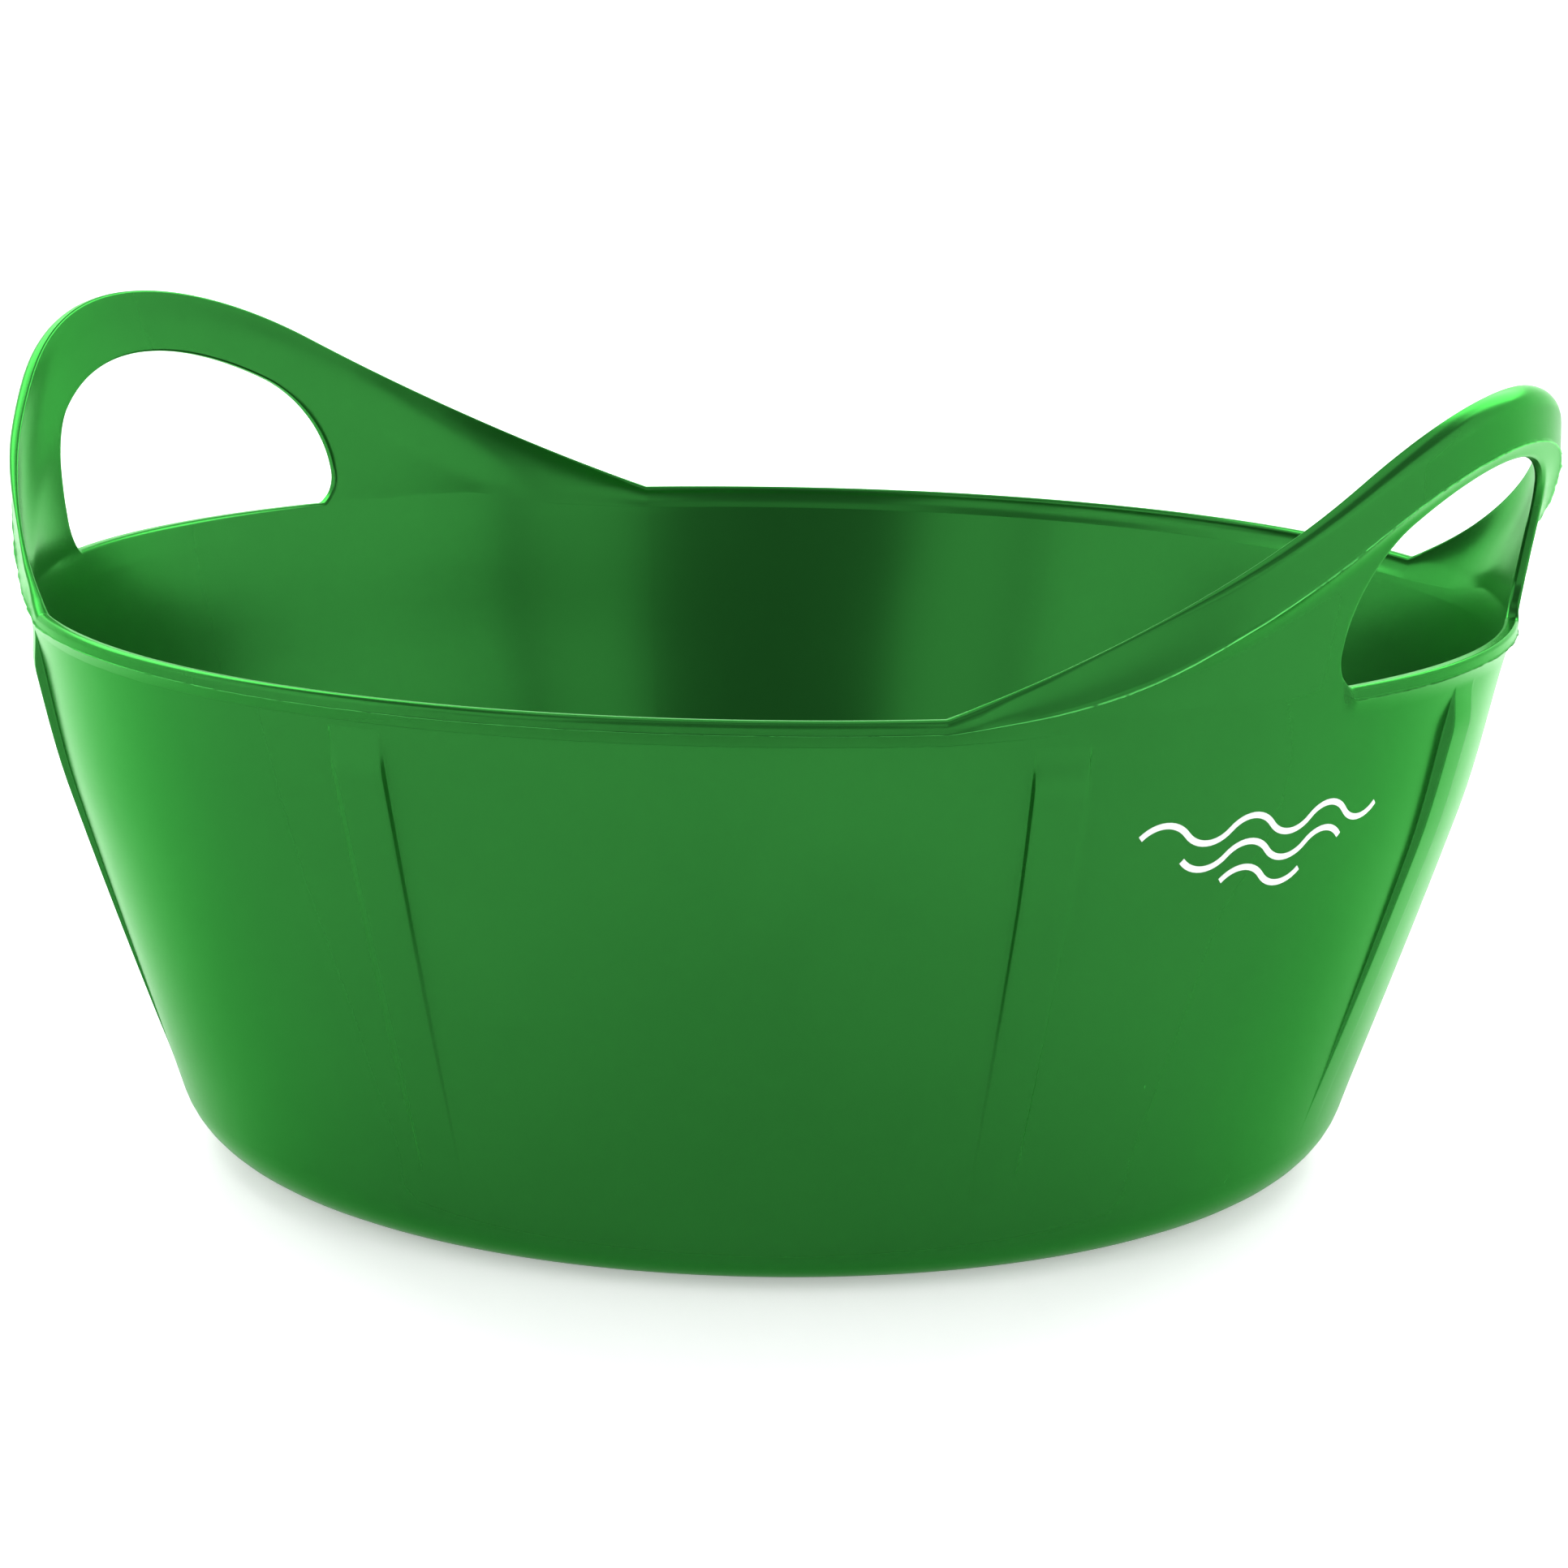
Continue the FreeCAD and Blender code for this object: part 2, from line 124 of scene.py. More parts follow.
@dataclass
class TubShape:
    """Section of the floor, the corner and the tapered wall with its ribs. Sizes in mm and degrees.

    Attributes:
        rim_radius: Outside radius of the wall at the rim.
        base_radius: Outside radius where the wall's line would meet the floor.
        corner_radius: Outside radius of the corner between floor and wall.
        wall: Thickness of wall and floor.
        bow: How far the wall's middle stands proud of a straight taper.
        lip_depth: How far below the rim the lip piece starts.
        pinch: How far the top of the wall is drawn in under and beside the handles.
        pinch_start: Height where the wall starts to be drawn in.
        pinch_reach: Angle from the handle's middle where the drawing-in has died out.
        pinch_fade: Angle over which it dies out.
        rib_side_angle: Angle from a handle's middle to the ribs beside it.
        rib_half_angle: Half of a rib's width.
        rib_edge_angle: Half of the width of a rib's flank.
        rib_proud: How far a rib's crest stands out at its tallest.
        rib_foot: Height where a rib rises out of the wall.
        rib_crest: Height where it is tallest.
        rib_top: Height where it has run out again.
        close_rows: Height over which the skin's rows lie closer together.
        rim_height: Height of the rim's top.
        floor_split: Height where the floor piece ends.
    """

    rim_radius: float = 200.0
    base_radius: float = 152.3
    corner_radius: float = 23.0
    wall: float = 3.0
    bow: float = 0.8
    lip_depth: float = 8.0
    pinch: float = 3.1
    pinch_start: float = 98.0
    pinch_reach: float = 85.0
    pinch_fade: float = 40.0
    rib_side_angle: float = 41.5
    rib_half_angle: float = 2.0
    rib_edge_angle: float = 0.12
    rib_proud: float = 2.4
    rib_foot: float = 28.0
    rib_crest: float = 129.0
    rib_top: float = 142.0
    close_rows: float = 115.0
    rim_height: float = field(default_factory=lambda: node_top("rim_lip"))
    floor_split: float = field(default_factory=lambda: node_top("tub_floor"))

    @property
    def taper(self) -> float:
        """Outward run of the wall for each millimetre of height."""
        return (self.rim_radius - self.base_radius) / self.rim_height

    @property
    def lip_start(self) -> float:
        """Height where the lip piece starts."""
        return self.rim_height - self.lip_depth

    def wall_radius(self, angle: Array, height: Array) -> Array:
        """Outside radius of the plain wall.

        Args:
            angle: Angles from the nearest handle's middle.
            height: Heights in mm, up to the rim.

        Returns:
            Radii in mm.
        """
        share = (height - self.corner_radius) / (self.rim_height - self.corner_radius)
        swell = self.bow * np.sin(np.clip(share, 0.0, 1.0) * math.pi)
        steep = smooth((height - self.pinch_start) / (self.rim_height - self.pinch_start))
        drawn_in = self.pinch * steep * smooth((self.pinch_reach - np.abs(angle)) / self.pinch_fade)
        return self.base_radius + self.taper * height + swell - drawn_in

    def rib_angles(self) -> List[float]:
        """Angles of the ribs over a half turn, measured from a handle's middle."""
        return [-90.0, -self.rib_side_angle, 0.0, self.rib_side_angle, 90.0]

    def rib_relief(self, angle: Array, height: Array) -> Array:
        """How far the ribs stand out from the wall.

        Args:
            angle: Angles from the nearest handle's middle.
            height: Heights in mm.

        Returns:
            Relief in mm, nought between the ribs.
        """
        nearest = np.min([np.abs(angle - rib) for rib in self.rib_angles()], axis=0)
        outer = self.rib_half_angle + self.rib_edge_angle
        across = smooth((outer - nearest) / (2.0 * self.rib_edge_angle))
        rise = smooth((self.rib_top - height) / (self.rib_top - self.rib_crest))
        fall = np.clip((height - self.rib_foot) / (self.rib_crest - self.rib_foot), 0.0, 1.0)
        return self.rib_proud * across * rise * fall ** 0.8

    def corner(self, offset: float, floor: float, steps: int) -> List[Tuple[float, float]]:
        """Arc between floor and wall, from the floor upwards.

        Args:
            offset: How far inside the outer skin the arc's skin lies.
            floor: Height of that skin's floor.
            steps: Number of points.

        Returns:
            Radius and height of each point.
        """
        radius = self.corner_radius - offset
        foot = self.base_radius - offset + self.taper * floor
        middle = foot - radius * (math.hypot(self.taper, 1.0) - self.taper)
        full = math.pi / 2.0 - math.atan(self.taper)
        turns = [full * step / (steps - 1) for step in range(steps)]
        return [(middle + radius * math.sin(t), floor + radius - radius * math.cos(t)) for t in turns]


@dataclass
class HandleShape:
    """Outline of a handle seen from the side, its hand hole and its rolled grip.

    Heights are measured from the rim's top. The top edge is two straight slopes joined by a crown
    arc, and it runs on into the rim's own edge. Sizes in mm and degrees.

    Attributes:
        tub: The tub that it grows out of.
        rise: Height of the handle over the rim.
        kink_angle: Angle from its middle to where its top edge leaves the rim.
        slope: Steepness of the top edge's straight stretches.
        flare: Outward run of the web for each millimetre of height.
        hole_half_width: Half of the hand hole's width.
        hole_rise: Height of the hole's top over the rim.
        hole_crown: Radius of the arc over the hole.
        hole_side: Radius of the arcs at its sides.
        hole_sink: How far the lower corner arcs would reach below the hole's bottom line.
        edge_round: Radius of the hole's rounded edge.
        edge_span: Height of web that the full rounding needs.
        rim_band: Height from the parting line to the top edge along the rim.
        grip_band: The same over the hand hole.
        band_growth: Height over the rim at which the band has grown in full.
        band_draft: How far the band leans in for each millimetre of height.
        band_hollow: How far the band is hollowed near the rim.
        rim_proud: How far the parting line stands out along the rim.
        kink_proud: The same where the handle leaves the rim.
        grip_proud: The same over the hand hole.
        return_depth: How far below the parting line the web swells out to it.
        rim_shoulder: Radius of the outer shoulder along the rim.
        grip_shoulder: The same over the hand hole.
        inner_round: Radius of the inner shoulder.
        least_top: Least width of the top edge behind the outer shoulder.
        inner_swell: How far the grip swells inwards.
        burr: Tallest that the parting line's burr may be.
        lean_out: How far the right and the left handle's top leans outwards.
        lean_near: How far it leans towards the near side.
    """

    tub: TubShape
    rise: float = 66.5
    kink_angle: float = 49.8
    slope: float = 30.0
    flare: float = 0.155
    hole_half_width: float = 65.0
    hole_rise: float = 49.0
    hole_crown: float = 105.0
    hole_side: float = 32.0
    hole_sink: float = 1.5
    edge_round: float = 0.9
    edge_span: float = 4.8
    rim_band: float = 3.2
    grip_band: float = 13.6
    band_growth: float = 24.0
    band_draft: float = 0.04
    band_hollow: float = 0.25
    rim_proud: float = 1.3
    kink_proud: float = 0.4
    grip_proud: float = 2.6
    return_depth: float = 6.5
    rim_shoulder: float = 1.5
    grip_shoulder: float = 4.6
    inner_round: float = 1.0
    least_top: float = 0.9
    inner_swell: float = 2.0
    burr: float = 0.55
    lean_out: Tuple[float, float] = (0.0, 5.0)
    lean_near: Tuple[float, float] = (0.0, 7.0)

    @property
    def reach(self) -> float:
        """Distance across from the handle's middle to where its top edge leaves the rim."""
        return float(self.web_radius(self.kink_angle, 0.0)) * math.sin(math.radians(self.kink_angle))

    @property
    def waist(self) -> float:
        """Height of the hand hole's widest place."""
        return self.hole_rise - self.hole_crown + self.side_rise

    @property
    def side_rise(self) -> float:
        """Height from the crown arc's centre up to the side arcs' centres."""
        across = self.hole_half_width - self.hole_side
        return math.sqrt((self.hole_crown - self.hole_side) ** 2 - across ** 2)

    @property
    def hole_angle(self) -> float:
        """Angle from the handle's middle to the hand hole's widest place."""
        return math.degrees(math.asin(self.hole_half_width / float(self.web_radius(0.0, self.waist))))

    def lift(self, angle: Array) -> Array:
        """Height of the top edge over the rim.

        Args:
            angle: Angles from the handle's middle.

        Returns:
            Heights in mm, nought beyond the handle.
        """
        slope = math.tan(math.radians(self.slope))
        crown = (self.reach * slope - self.rise) / (1.0 / math.cos(math.radians(self.slope)) - 1.0)
        tangent = crown * math.sin(math.radians(self.slope))
        height = np.zeros_like(angle)
        for _ in range(4):
            across = self.web_radius(angle, height) * np.abs(np.sin(np.radians(angle)))
            line = slope * (self.reach - across)
            arc = self.rise - crown + np.sqrt(np.maximum(crown ** 2 - across ** 2, 0.0))
            height = np.where(across < tangent, arc, np.maximum(line, 0.0))
        return np.where(np.abs(angle) < self.kink_angle, height, 0.0)

    def growth(self, lift: Array) -> Array:
        """Share of the way from the rim's thin edge to the full grip, by height over the rim."""
        return np.sin(np.clip(lift / self.band_growth, 0.0, 1.0) * math.pi / 2.0)

    def band(self, lift: Array) -> Array:
        """Height of the band between the parting line and the top edge."""
        return self.rim_band + (self.grip_band - self.rim_band) * self.growth(lift)

    def shoulder(self, lift: Array) -> Array:
        """Radius of the rounded outer shoulder."""
        return self.rim_shoulder + (self.grip_shoulder - self.rim_shoulder) * self.growth(lift)

    def proud(self, lift: Array) -> Array:
        """How far the parting line stands out from the web below it."""
        near_rim = self.kink_proud + (self.rim_proud - self.kink_proud) * (1.0 - smooth(lift / 7.0))
        return near_rim + (self.grip_proud - self.kink_proud) * smooth((lift - 12.0) / 26.0)

    def inner_radius(self, angle: Array, lift: Array) -> Array:
        """Radius of the inner face at the top edge, where the grip swells inwards."""
        swell = self.inner_swell * smooth((lift - 30.0) / 36.0)
        return self.web_radius(angle, lift) - self.tub.wall - swell

    def web_radius(self, angle: Array, height: Array) -> Array:
        """Outside radius of wall and web, by angle and height over the rim."""
        below = self.tub.wall_radius(angle, self.tub.rim_height + np.minimum(height, 0.0))
        return below + self.flare * np.maximum(height, 0.0)

    def hole_upper(self) -> Tuple[Array, Array]:
        """Way over the top of the hand hole, from its widest place to its middle.

        Returns:
            Places across and heights over the rim.
        """
        centre = self.hole_half_width - self.hole_side
        turn = math.atan2(self.side_rise, centre)
        side = np.linspace(0.0, turn, 60)
        top = np.linspace(turn, math.pi / 2.0, 60)[1:]
        across = [centre + self.hole_side * np.cos(side), self.hole_crown * np.cos(top)]
        low = self.hole_rise - self.hole_crown
        up = [self.waist + self.hole_side * np.sin(side), low + self.hole_crown * np.sin(top)]
        return np.concatenate(across), np.concatenate(up)

    def hole_lower(self) -> Tuple[Array, Array]:
        """Way along the bottom of the hand hole, from its widest place to its middle.

        Returns:
            Places across and heights over the rim.
        """
        radius = self.waist + self.hole_sink
        centre = self.hole_half_width - radius
        turns = np.linspace(0.0, math.asin(self.waist / radius), 40)
        flat = np.linspace(centre + radius * math.cos(turns[-1]), 0.0, 40)[1:]
        across = np.concatenate([centre + radius * np.cos(turns), flat])
        up = np.concatenate([self.waist - radius * np.sin(turns), np.zeros(39)])
        return across, up

    def hole_points(self, half: Tuple[Array, Array], angle: Array) -> Tuple[Array, Array]:
        """Points of the hand hole's edge that the skin's columns end on.

        Args:
            half: Half of the edge, from the widest place to the middle.
            angle: Column angles from the handle's middle.

        Returns:
            Angle and height over the rim of each column's point.
        """
        across, up = half
        along = np.concatenate([[0.0], np.cumsum(np.hypot(np.diff(across), np.diff(up)))])
        place = (1.0 - np.abs(angle) / self.hole_angle) * along[-1]
        height = np.interp(place, along, up)
        reach = np.interp(place, along, across)
        return np.sign(angle) * np.degrees(np.arcsin(reach / self.web_radius(angle, height))), height

    def hole_distance(self, angle: Array, height: Array) -> Array:
        """Distance of points on the web from the hand hole's edge.

        Args:
            angle: Angles from the handle's middle.
            height: Heights over the rim.

        Returns:
            Distances in mm.
        """
        across = np.abs(np.sin(np.radians(angle))) * self.web_radius(angle, height)
        edges = [self.hole_upper(), self.hole_lower()]
        nearest = np.full(across.shape, 1.0e6)
        for edge_across, edge_up in edges:
            for start in range(len(edge_across) - 1):
                first = np.array([edge_across[start], edge_up[start]])
                step = np.array([edge_across[start + 1], edge_up[start + 1]]) - first
                along = ((across - first[0]) * step[0] + (height - first[1]) * step[1]) / (step @ step)
                held = np.clip(along, 0.0, 1.0)
                gap = np.hypot(across - first[0] - held * step[0], height - first[1] - held * step[1])
                nearest = np.minimum(nearest, gap)
        return nearest

    def edge_cut(self, angle: Array, height: Array) -> Array:
        """How deep the rounding of the hand hole's edge cuts into a face of the web."""
        gap = np.clip(self.hole_distance(angle, height) / self.edge_round, 0.0, 1.0)
        return self.edge_round * (1.0 - np.sqrt(1.0 - (1.0 - gap) ** 2))


# ------------------------------------------------------------------------------------------ skin


class Piece(Enum):
    """The pieces that the green skin is cut into."""

    FLOOR = "floor_shell"
    WALL = "wall_shell"
    LIP_NEAR = "rim_edge_near"
    LIP_FAR = "rim_edge_far"
    HANDLE_RIGHT = "handle_right_shell"
    HANDLE_LEFT = "handle_left_shell"


@dataclass
class SkinColumns:
    """Angles of the skin's columns over a half turn, closer together where the shape is fine.

    Attributes:
        tub: Shape of floor and wall.
        handle: Shape of the handles.
        cut_margin: Angle from where a handle leaves the rim to where its piece ends.
        hole_step: Widest step beside a hand hole's middle.
        leg_step: Widest step over a handle's legs.
        plain_step: Widest step along the plain rim.
    """

    tub: TubShape
    handle: HandleShape
    cut_margin: float = 2.4
    hole_step: float = 0.3
    leg_step: float = 0.5
    plain_step: float = 0.8

    @property
    def cut_angle(self) -> float:
        """Angle where the handle's piece ends and the lip's piece starts."""
        return self.handle.kink_angle + self.cut_margin

    def half_turn(self) -> Array:
        """Column angles from the handle's middle.

        Returns:
            Angles from -90 up to 90, without 90 itself.
        """
        hole = self.handle.hole_angle
        kink = self.handle.kink_angle
        keys = {0.0, hole, kink, self.cut_angle, 90.0}
        keys.update(hole + step for step in (0.03, 0.08, 0.15, 0.25))
        keys.update(kink + step for step in (-0.3, -0.1, 0.1, 0.3))
        for rib in (0.0, self.tub.rib_side_angle, 90.0):
            for side in (-1.0, 1.0):
                for share in (-1.0, -0.33, 0.33, 1.0):
                    keys.add(rib + side * (self.tub.rib_half_angle + share * self.tub.rib_edge_angle))
        ordered = sorted(key for key in keys if 0.0 <= key <= 90.0)
        angles = []
        for low, high in zip(ordered, ordered[1:]):
            step = self.hole_step if high <= hole else self.leg_step if high <= kink else self.plain_step
            count = max(1, math.ceil((high - low) / step))
            angles.extend(low + (high - low) * share / count for share in range(count))
        positive = np.array(angles)
        return np.concatenate([[-90.0], -positive[:0:-1], positive])


@dataclass
class Skin:
    """The whole green moulding as one grid of points, before it is cut into pieces.

    Attributes:
        tub: Shape of floor and wall.
        handle: Shape of the handles.
        columns: Where the grid's columns stand.
        rows: Points of each row, in metres.
        highlight_share: Strength of the painted highlight along the parting line at each point, 0 to 1.
        marks: Rows where the skin is cut or opened, by name.
        seed: Start of the burr's random wave.
        local: Each column's angle from the middle of its handle.
        turn: Angle of that handle's middle: 0 for the right one, 180 for the left one.
        lift: Height of the top edge over the rim at each column.
        in_hole: True for the columns that a hand hole interrupts.
        edge_wave: The burr's wave at each column.
        inner_edge: Radius of the inner face at the top edge.
        edge_drop: Radius of the inner shoulder at each column.
        points: All rows together.
        ids: Number of every point of the grid.
        faces: Faces of each piece.
        normals: Direction of the skin at every point.
    """

    tub: TubShape
    handle: HandleShape
    columns: SkinColumns
    rows: List[Array] = field(default_factory=list)
    highlight_share: List[Array] = field(default_factory=list)
    marks: Dict[str, int] = field(default_factory=dict)
    seed: int = 7
    local: Array = field(init=False)
    turn: Array = field(init=False)
    lift: Array = field(init=False)
    in_hole: Array = field(init=False)
    edge_wave: Array = field(init=False)
    inner_edge: Array = field(init=False)
    edge_drop: Array = field(init=False)
    points: Array = field(init=False)
    ids: Array = field(init=False)
    faces: Dict[Piece, List[Face]] = field(init=False)
    normals: Array = field(init=False)

    def __post_init__(self) -> None:
        """Works out the columns and lays every row."""
        half = self.columns.half_turn()
        self.local = np.concatenate([half, half])
        self.turn = np.concatenate([np.zeros(len(half)), np.full(len(half), 180.0)])
        self.lift = self.handle.lift(self.local)
        self.in_hole = np.abs(self.local) < self.handle.hole_angle - 1.0e-6
        self.edge_wave = self.ripple(1.0)
        self.lay_outside()
        self.lay_edge()
        self.lay_inside()
        self.points = np.array(self.rows)
        self.ids = np.arange(self.points.shape[0] * self.points.shape[1]).reshape(self.points.shape[:2])
        for lower in (self.marks["outer_slit"], self.marks["inner_slit"]):
            keep = ~self.in_hole
            self.ids[lower + 1, keep] = self.ids[lower, keep]
        self.faces = self.all_faces()
        self.normals = self.point_normals()

    def ripple(self, height: float) -> Array:
        """A fine uneven wave round the tub, for the burr that the mould's parting line leaves.

        Args:
            height: Tallest the wave may be.

        Returns:
            The wave at every column.
        """
        generator = np.random.default_rng(self.seed)
        turn = np.radians(self.local + self.turn)
        wave = np.zeros_like(turn)
        for count in BURR_WAVES:
            ripple = np.sin(count * turn + generator.uniform(0.0, 2.0 * math.pi))
            wave += ripple * generator.uniform(0.5, 1.0)
        return height * (0.5 + 0.5 * wave / np.max(np.abs(wave)))

    def lay(self, angle: Array, radius: Array, height: Array, highlight_share: float = 0.0) -> None:
        """Adds one row of points.

        Args:
            angle: Angles from the handle's middle.
            radius: Distances from the tub's axis.
            height: Heights over the floor.
            highlight_share: Strength of the painted highlight along this row, 0 to 1.
        """
        count = len(self.local)
        turn = np.radians(np.broadcast_to(angle, count) + self.turn)
        height = np.broadcast_to(height, count)
        lean = np.clip((height - self.tub.rim_height) / self.handle.rise, 0.0, 1.0) ** 2
        side = (self.turn > 0.0).astype(int)
        reach = radius + lean * np.array(self.handle.lean_out)[side]
        across = reach * np.sin(turn) - lean * np.array(self.handle.lean_near)[side]
        self.rows.append(np.stack([reach * np.cos(turn), across, height], axis=-1) * MM)
        self.highlight_share.append(np.full(count, highlight_share))

    def flash_height(self) -> Array:
        """Height of the parting line over the rim at every column."""
        return self.lift - self.handle.band(self.lift)

    def slit(self, upper: bool) -> Tuple[Array, Array]:
        """Row that opens into the hand holes.

        Args:
            upper: True for the lip over the hole, False for the lip under it.

        Returns:
            Angle and height over the rim at every column.
        """
        low = -self.tub.lip_depth
        at_hole = np.array([self.handle.hole_angle])
        beside = self.handle.lift(at_hole)
        share = (self.handle.waist - low) / ((beside - self.handle.band(beside))[0] - low)
        angle = self.local.copy()
        height = low + (self.flash_height() - low) * share
        half = self.handle.hole_upper() if upper else self.handle.hole_lower()
        hole_angle, hole_height = self.handle.hole_points(half, self.local)
        inside = np.abs(self.local) <= self.handle.hole_angle
        return np.where(inside, hole_angle, angle), np.where(inside, hole_height, height)

    def lay_outside(self) -> None:
        """Lays the rows from the middle of the underside up to the parting line."""
        tub = self.tub
        corner = tub.corner(0.0, 0.0, CORNER_STEPS)
        for share in FLOOR_SHARES:
            self.lay(self.local, corner[0][0] * share, 0.0)
        for radius, height in corner:
            self.lay(self.local, radius, height)
        self.marks["outer_floor"] = len(self.rows)
        low = np.linspace(tub.floor_split, tub.close_rows, 20)
        high = np.linspace(tub.close_rows, tub.lip_start, 15)[1:]
        for height in np.concatenate([low, high]):
            relief = tub.rib_relief(self.local, height)
            self.lay(self.local, tub.wall_radius(self.local, height) + relief, height)
        self.marks["outer_lip"] = len(self.rows) - 1
        self.lay_under_hole(outer=True)
        self.marks["outer_slit"] = len(self.rows) - 1
        self.lay_over_hole()

    def lip_fade(self, slit_height: Array) -> Array:
        """How strongly the rim's bead shows along the bottom of a hand hole."""
        inside = np.abs(self.local) <= self.handle.hole_angle
        return np.where(inside, 1.0 - smooth(slit_height / 4.0), 0.0)

    def lay_under_hole(self, outer: bool) -> None:
        """Lays the rows between the lip piece's start and the bottom of the hand holes.

        Args:
            outer: True for the outside, from below upwards, False for the inside, from above down.
        """
        handle = self.handle
        depth = self.tub.lip_depth
        slit_angle, slit_height = self.slit(upper=False)
        fade = self.lip_fade(slit_height)
        for gap in LIP_GAPS if outer else LIP_GAPS[::-1]:
            share = 1.0 - gap / depth
            height = -depth + (slit_height + depth) * share
            angle = mix(self.local, slit_angle, share)
            cut = handle.edge_cut(angle, height)
            if outer:
                cove = np.clip((depth - gap) / (depth - handle.rim_band), 0.0, 1.0) ** 2
                upright = self.tub.taper * max(handle.rim_band - gap, 0.0)
                burr = handle.burr * self.edge_wave if gap == handle.rim_band else 0.0
                bead = fade * (handle.rim_proud * cove - upright + burr)
                radius = handle.web_radius(angle, height) + bead - cut
            else:
                radius = handle.web_radius(angle, height) - self.tub.wall + cut
            self.lay(angle, radius, self.tub.rim_height + height)

    def lay_over_hole(self) -> None:
        """Lays the outside rows between the hand holes' upper edge and the parting line."""
        handle = self.handle
        slit_angle, slit_height = self.slit(upper=True)
        flash = self.flash_height()
        span = flash - slit_height
        fine = np.minimum(span / handle.edge_span, 1.0) * handle.edge_round
        steps = [share * fine for share in ROUND_SHARES]
        steps += [fine + (span - fine) * share for share in WEB_SHARES]
        for number, step in enumerate(steps):
            on_flash = number == len(steps) - 1
            share = step / span
            angle = mix(slit_angle, self.local, share)
            height = slit_height + step
            radius = self.outer_web(angle, height, on_flash)
            # The parting line's row carries the full painted highlight.
            self.lay(angle, radius, self.tub.rim_height + height, 1.0 if on_flash else 0.0)
        self.marks["flash"] = len(self.rows) - 1

    def outer_web(self, angle: Array, height: Array, on_flash: bool) -> Array:
        """Outside radius of the web, with the cove that runs out to the parting line.

        Args:
            angle: Angles from the handle's middle.
            height: Heights over the rim.
            on_flash: True on the parting line itself, which carries the burr.

        Returns:
            Radii in mm.
        """
        handle = self.handle
        lift = handle.lift(angle)
        below = np.maximum(lift - handle.band(lift) - height, 0.0)
        cove = np.clip(1.0 - below / handle.return_depth, 0.0, 1.0) ** 2
        burr = handle.burr * self.edge_wave if on_flash else 0.0
        web = handle.web_radius(angle, height) - handle.edge_cut(angle, height)
        return web + handle.proud(lift) * cove + burr

    def lay_edge(self) -> None:
        """Lays the band, the rounded shoulder and the top edge of rim and handles."""
        handle = self.handle
        flash = self.flash_height()
        band = handle.band(self.lift)
        foot = handle.web_radius(self.local, flash) + handle.proud(self.lift)
        self.inner_edge = handle.inner_radius(self.local, self.lift)
        shoulder = np.minimum(handle.shoulder(self.lift), foot - self.inner_edge - handle.least_top)
        face = band - shoulder
        near_rim = smooth(self.lift / 5.0) * (1.0 - smooth((self.lift - 16.0) / 16.0))
        hollow = handle.band_hollow * near_rim
        for share in BAND_SHARES:
            radius = foot - handle.band_draft * face * share - hollow * math.sin(math.pi * share)
            self.lay(self.local, radius, self.tub.rim_height + flash + face * share)
        top = foot - handle.band_draft * face - shoulder
        for turn in np.radians(SHOULDER_TURNS):
            height = flash + face + shoulder * math.sin(turn)
            self.lay(self.local, top + shoulder * math.cos(turn), self.tub.rim_height + height)
        rounding = np.minimum(handle.inner_round, np.maximum(top - self.inner_edge, 0.3))
        for turn in np.radians(INNER_TURNS):
            radius = self.inner_edge + rounding * (1.0 - math.sin(turn))
            height = self.lift - rounding * (1.0 - math.cos(turn))
            self.lay(self.local, radius, self.tub.rim_height + height)
        self.edge_drop = rounding

    def lay_inside(self) -> None:
        """Lays the inside rows from the top edge down to the middle of the floor."""
        tub, handle = self.tub, self.handle
        slit_angle, slit_height = self.slit(upper=True)
        start = self.lift - self.edge_drop
        span = start - slit_height
        fine = np.minimum(span / handle.edge_span, 1.0) * handle.edge_round
        coarse = [fine + (span - fine) * share for share in np.linspace(0.93, 0.0, 14)]
        steps = coarse + [share * fine for share in ROUND_SHARES[-2::-1]]
        turn_in = np.maximum(self.flash_height() - handle.return_depth, slit_height - 1.0)
        for step in steps:
            share = step / span
            angle = mix(slit_angle, self.local, share)
            height = slit_height + step
            weight = smooth((height - turn_in) / (start - turn_in))
            radius = mix(handle.web_radius(angle, height) - tub.wall, self.inner_edge, weight)
            self.lay(angle, radius + handle.edge_cut(angle, height), tub.rim_height + height)
        self.marks["inner_slit"] = len(self.rows) - 1
        self.lay_under_hole(outer=False)
        self.marks["inner_lip"] = len(self.rows)
        for height in np.linspace(tub.lip_start, tub.floor_split, 16):
            self.lay(self.local, tub.wall_radius(self.local, height) - tub.wall, height)
        self.marks["inner_floor"] = len(self.rows) - 1
        corner = tub.corner(tub.wall, tub.wall, CORNER_STEPS)
        for radius, height in corner[::-1]:
            self.lay(self.local, radius, height)
        for share in FLOOR_SHARES[::-1]:
            self.lay(self.local, corner[0][0] * share, tub.wall)

    def piece_at(self, column: int) -> Piece:
        """Piece that the skin over the wall belongs to, between a column and the next one.

        Args:
            column: Number of the first column.

        Returns:
            The piece.
        """
        following = (column + 1) % len(self.local)
        middle = (self.local[column] + self.local[following]) / 2.0
        if following % (len(self.local) // 2) == 0:
            middle = 90.0
        if abs(middle) < self.columns.cut_angle:
            return Piece.HANDLE_RIGHT if self.turn[column] == 0.0 else Piece.HANDLE_LEFT
        side = math.sin(math.radians(self.local[column] + self.turn[column]))
        return Piece.LIP_NEAR if side < 0.0 else Piece.LIP_FAR

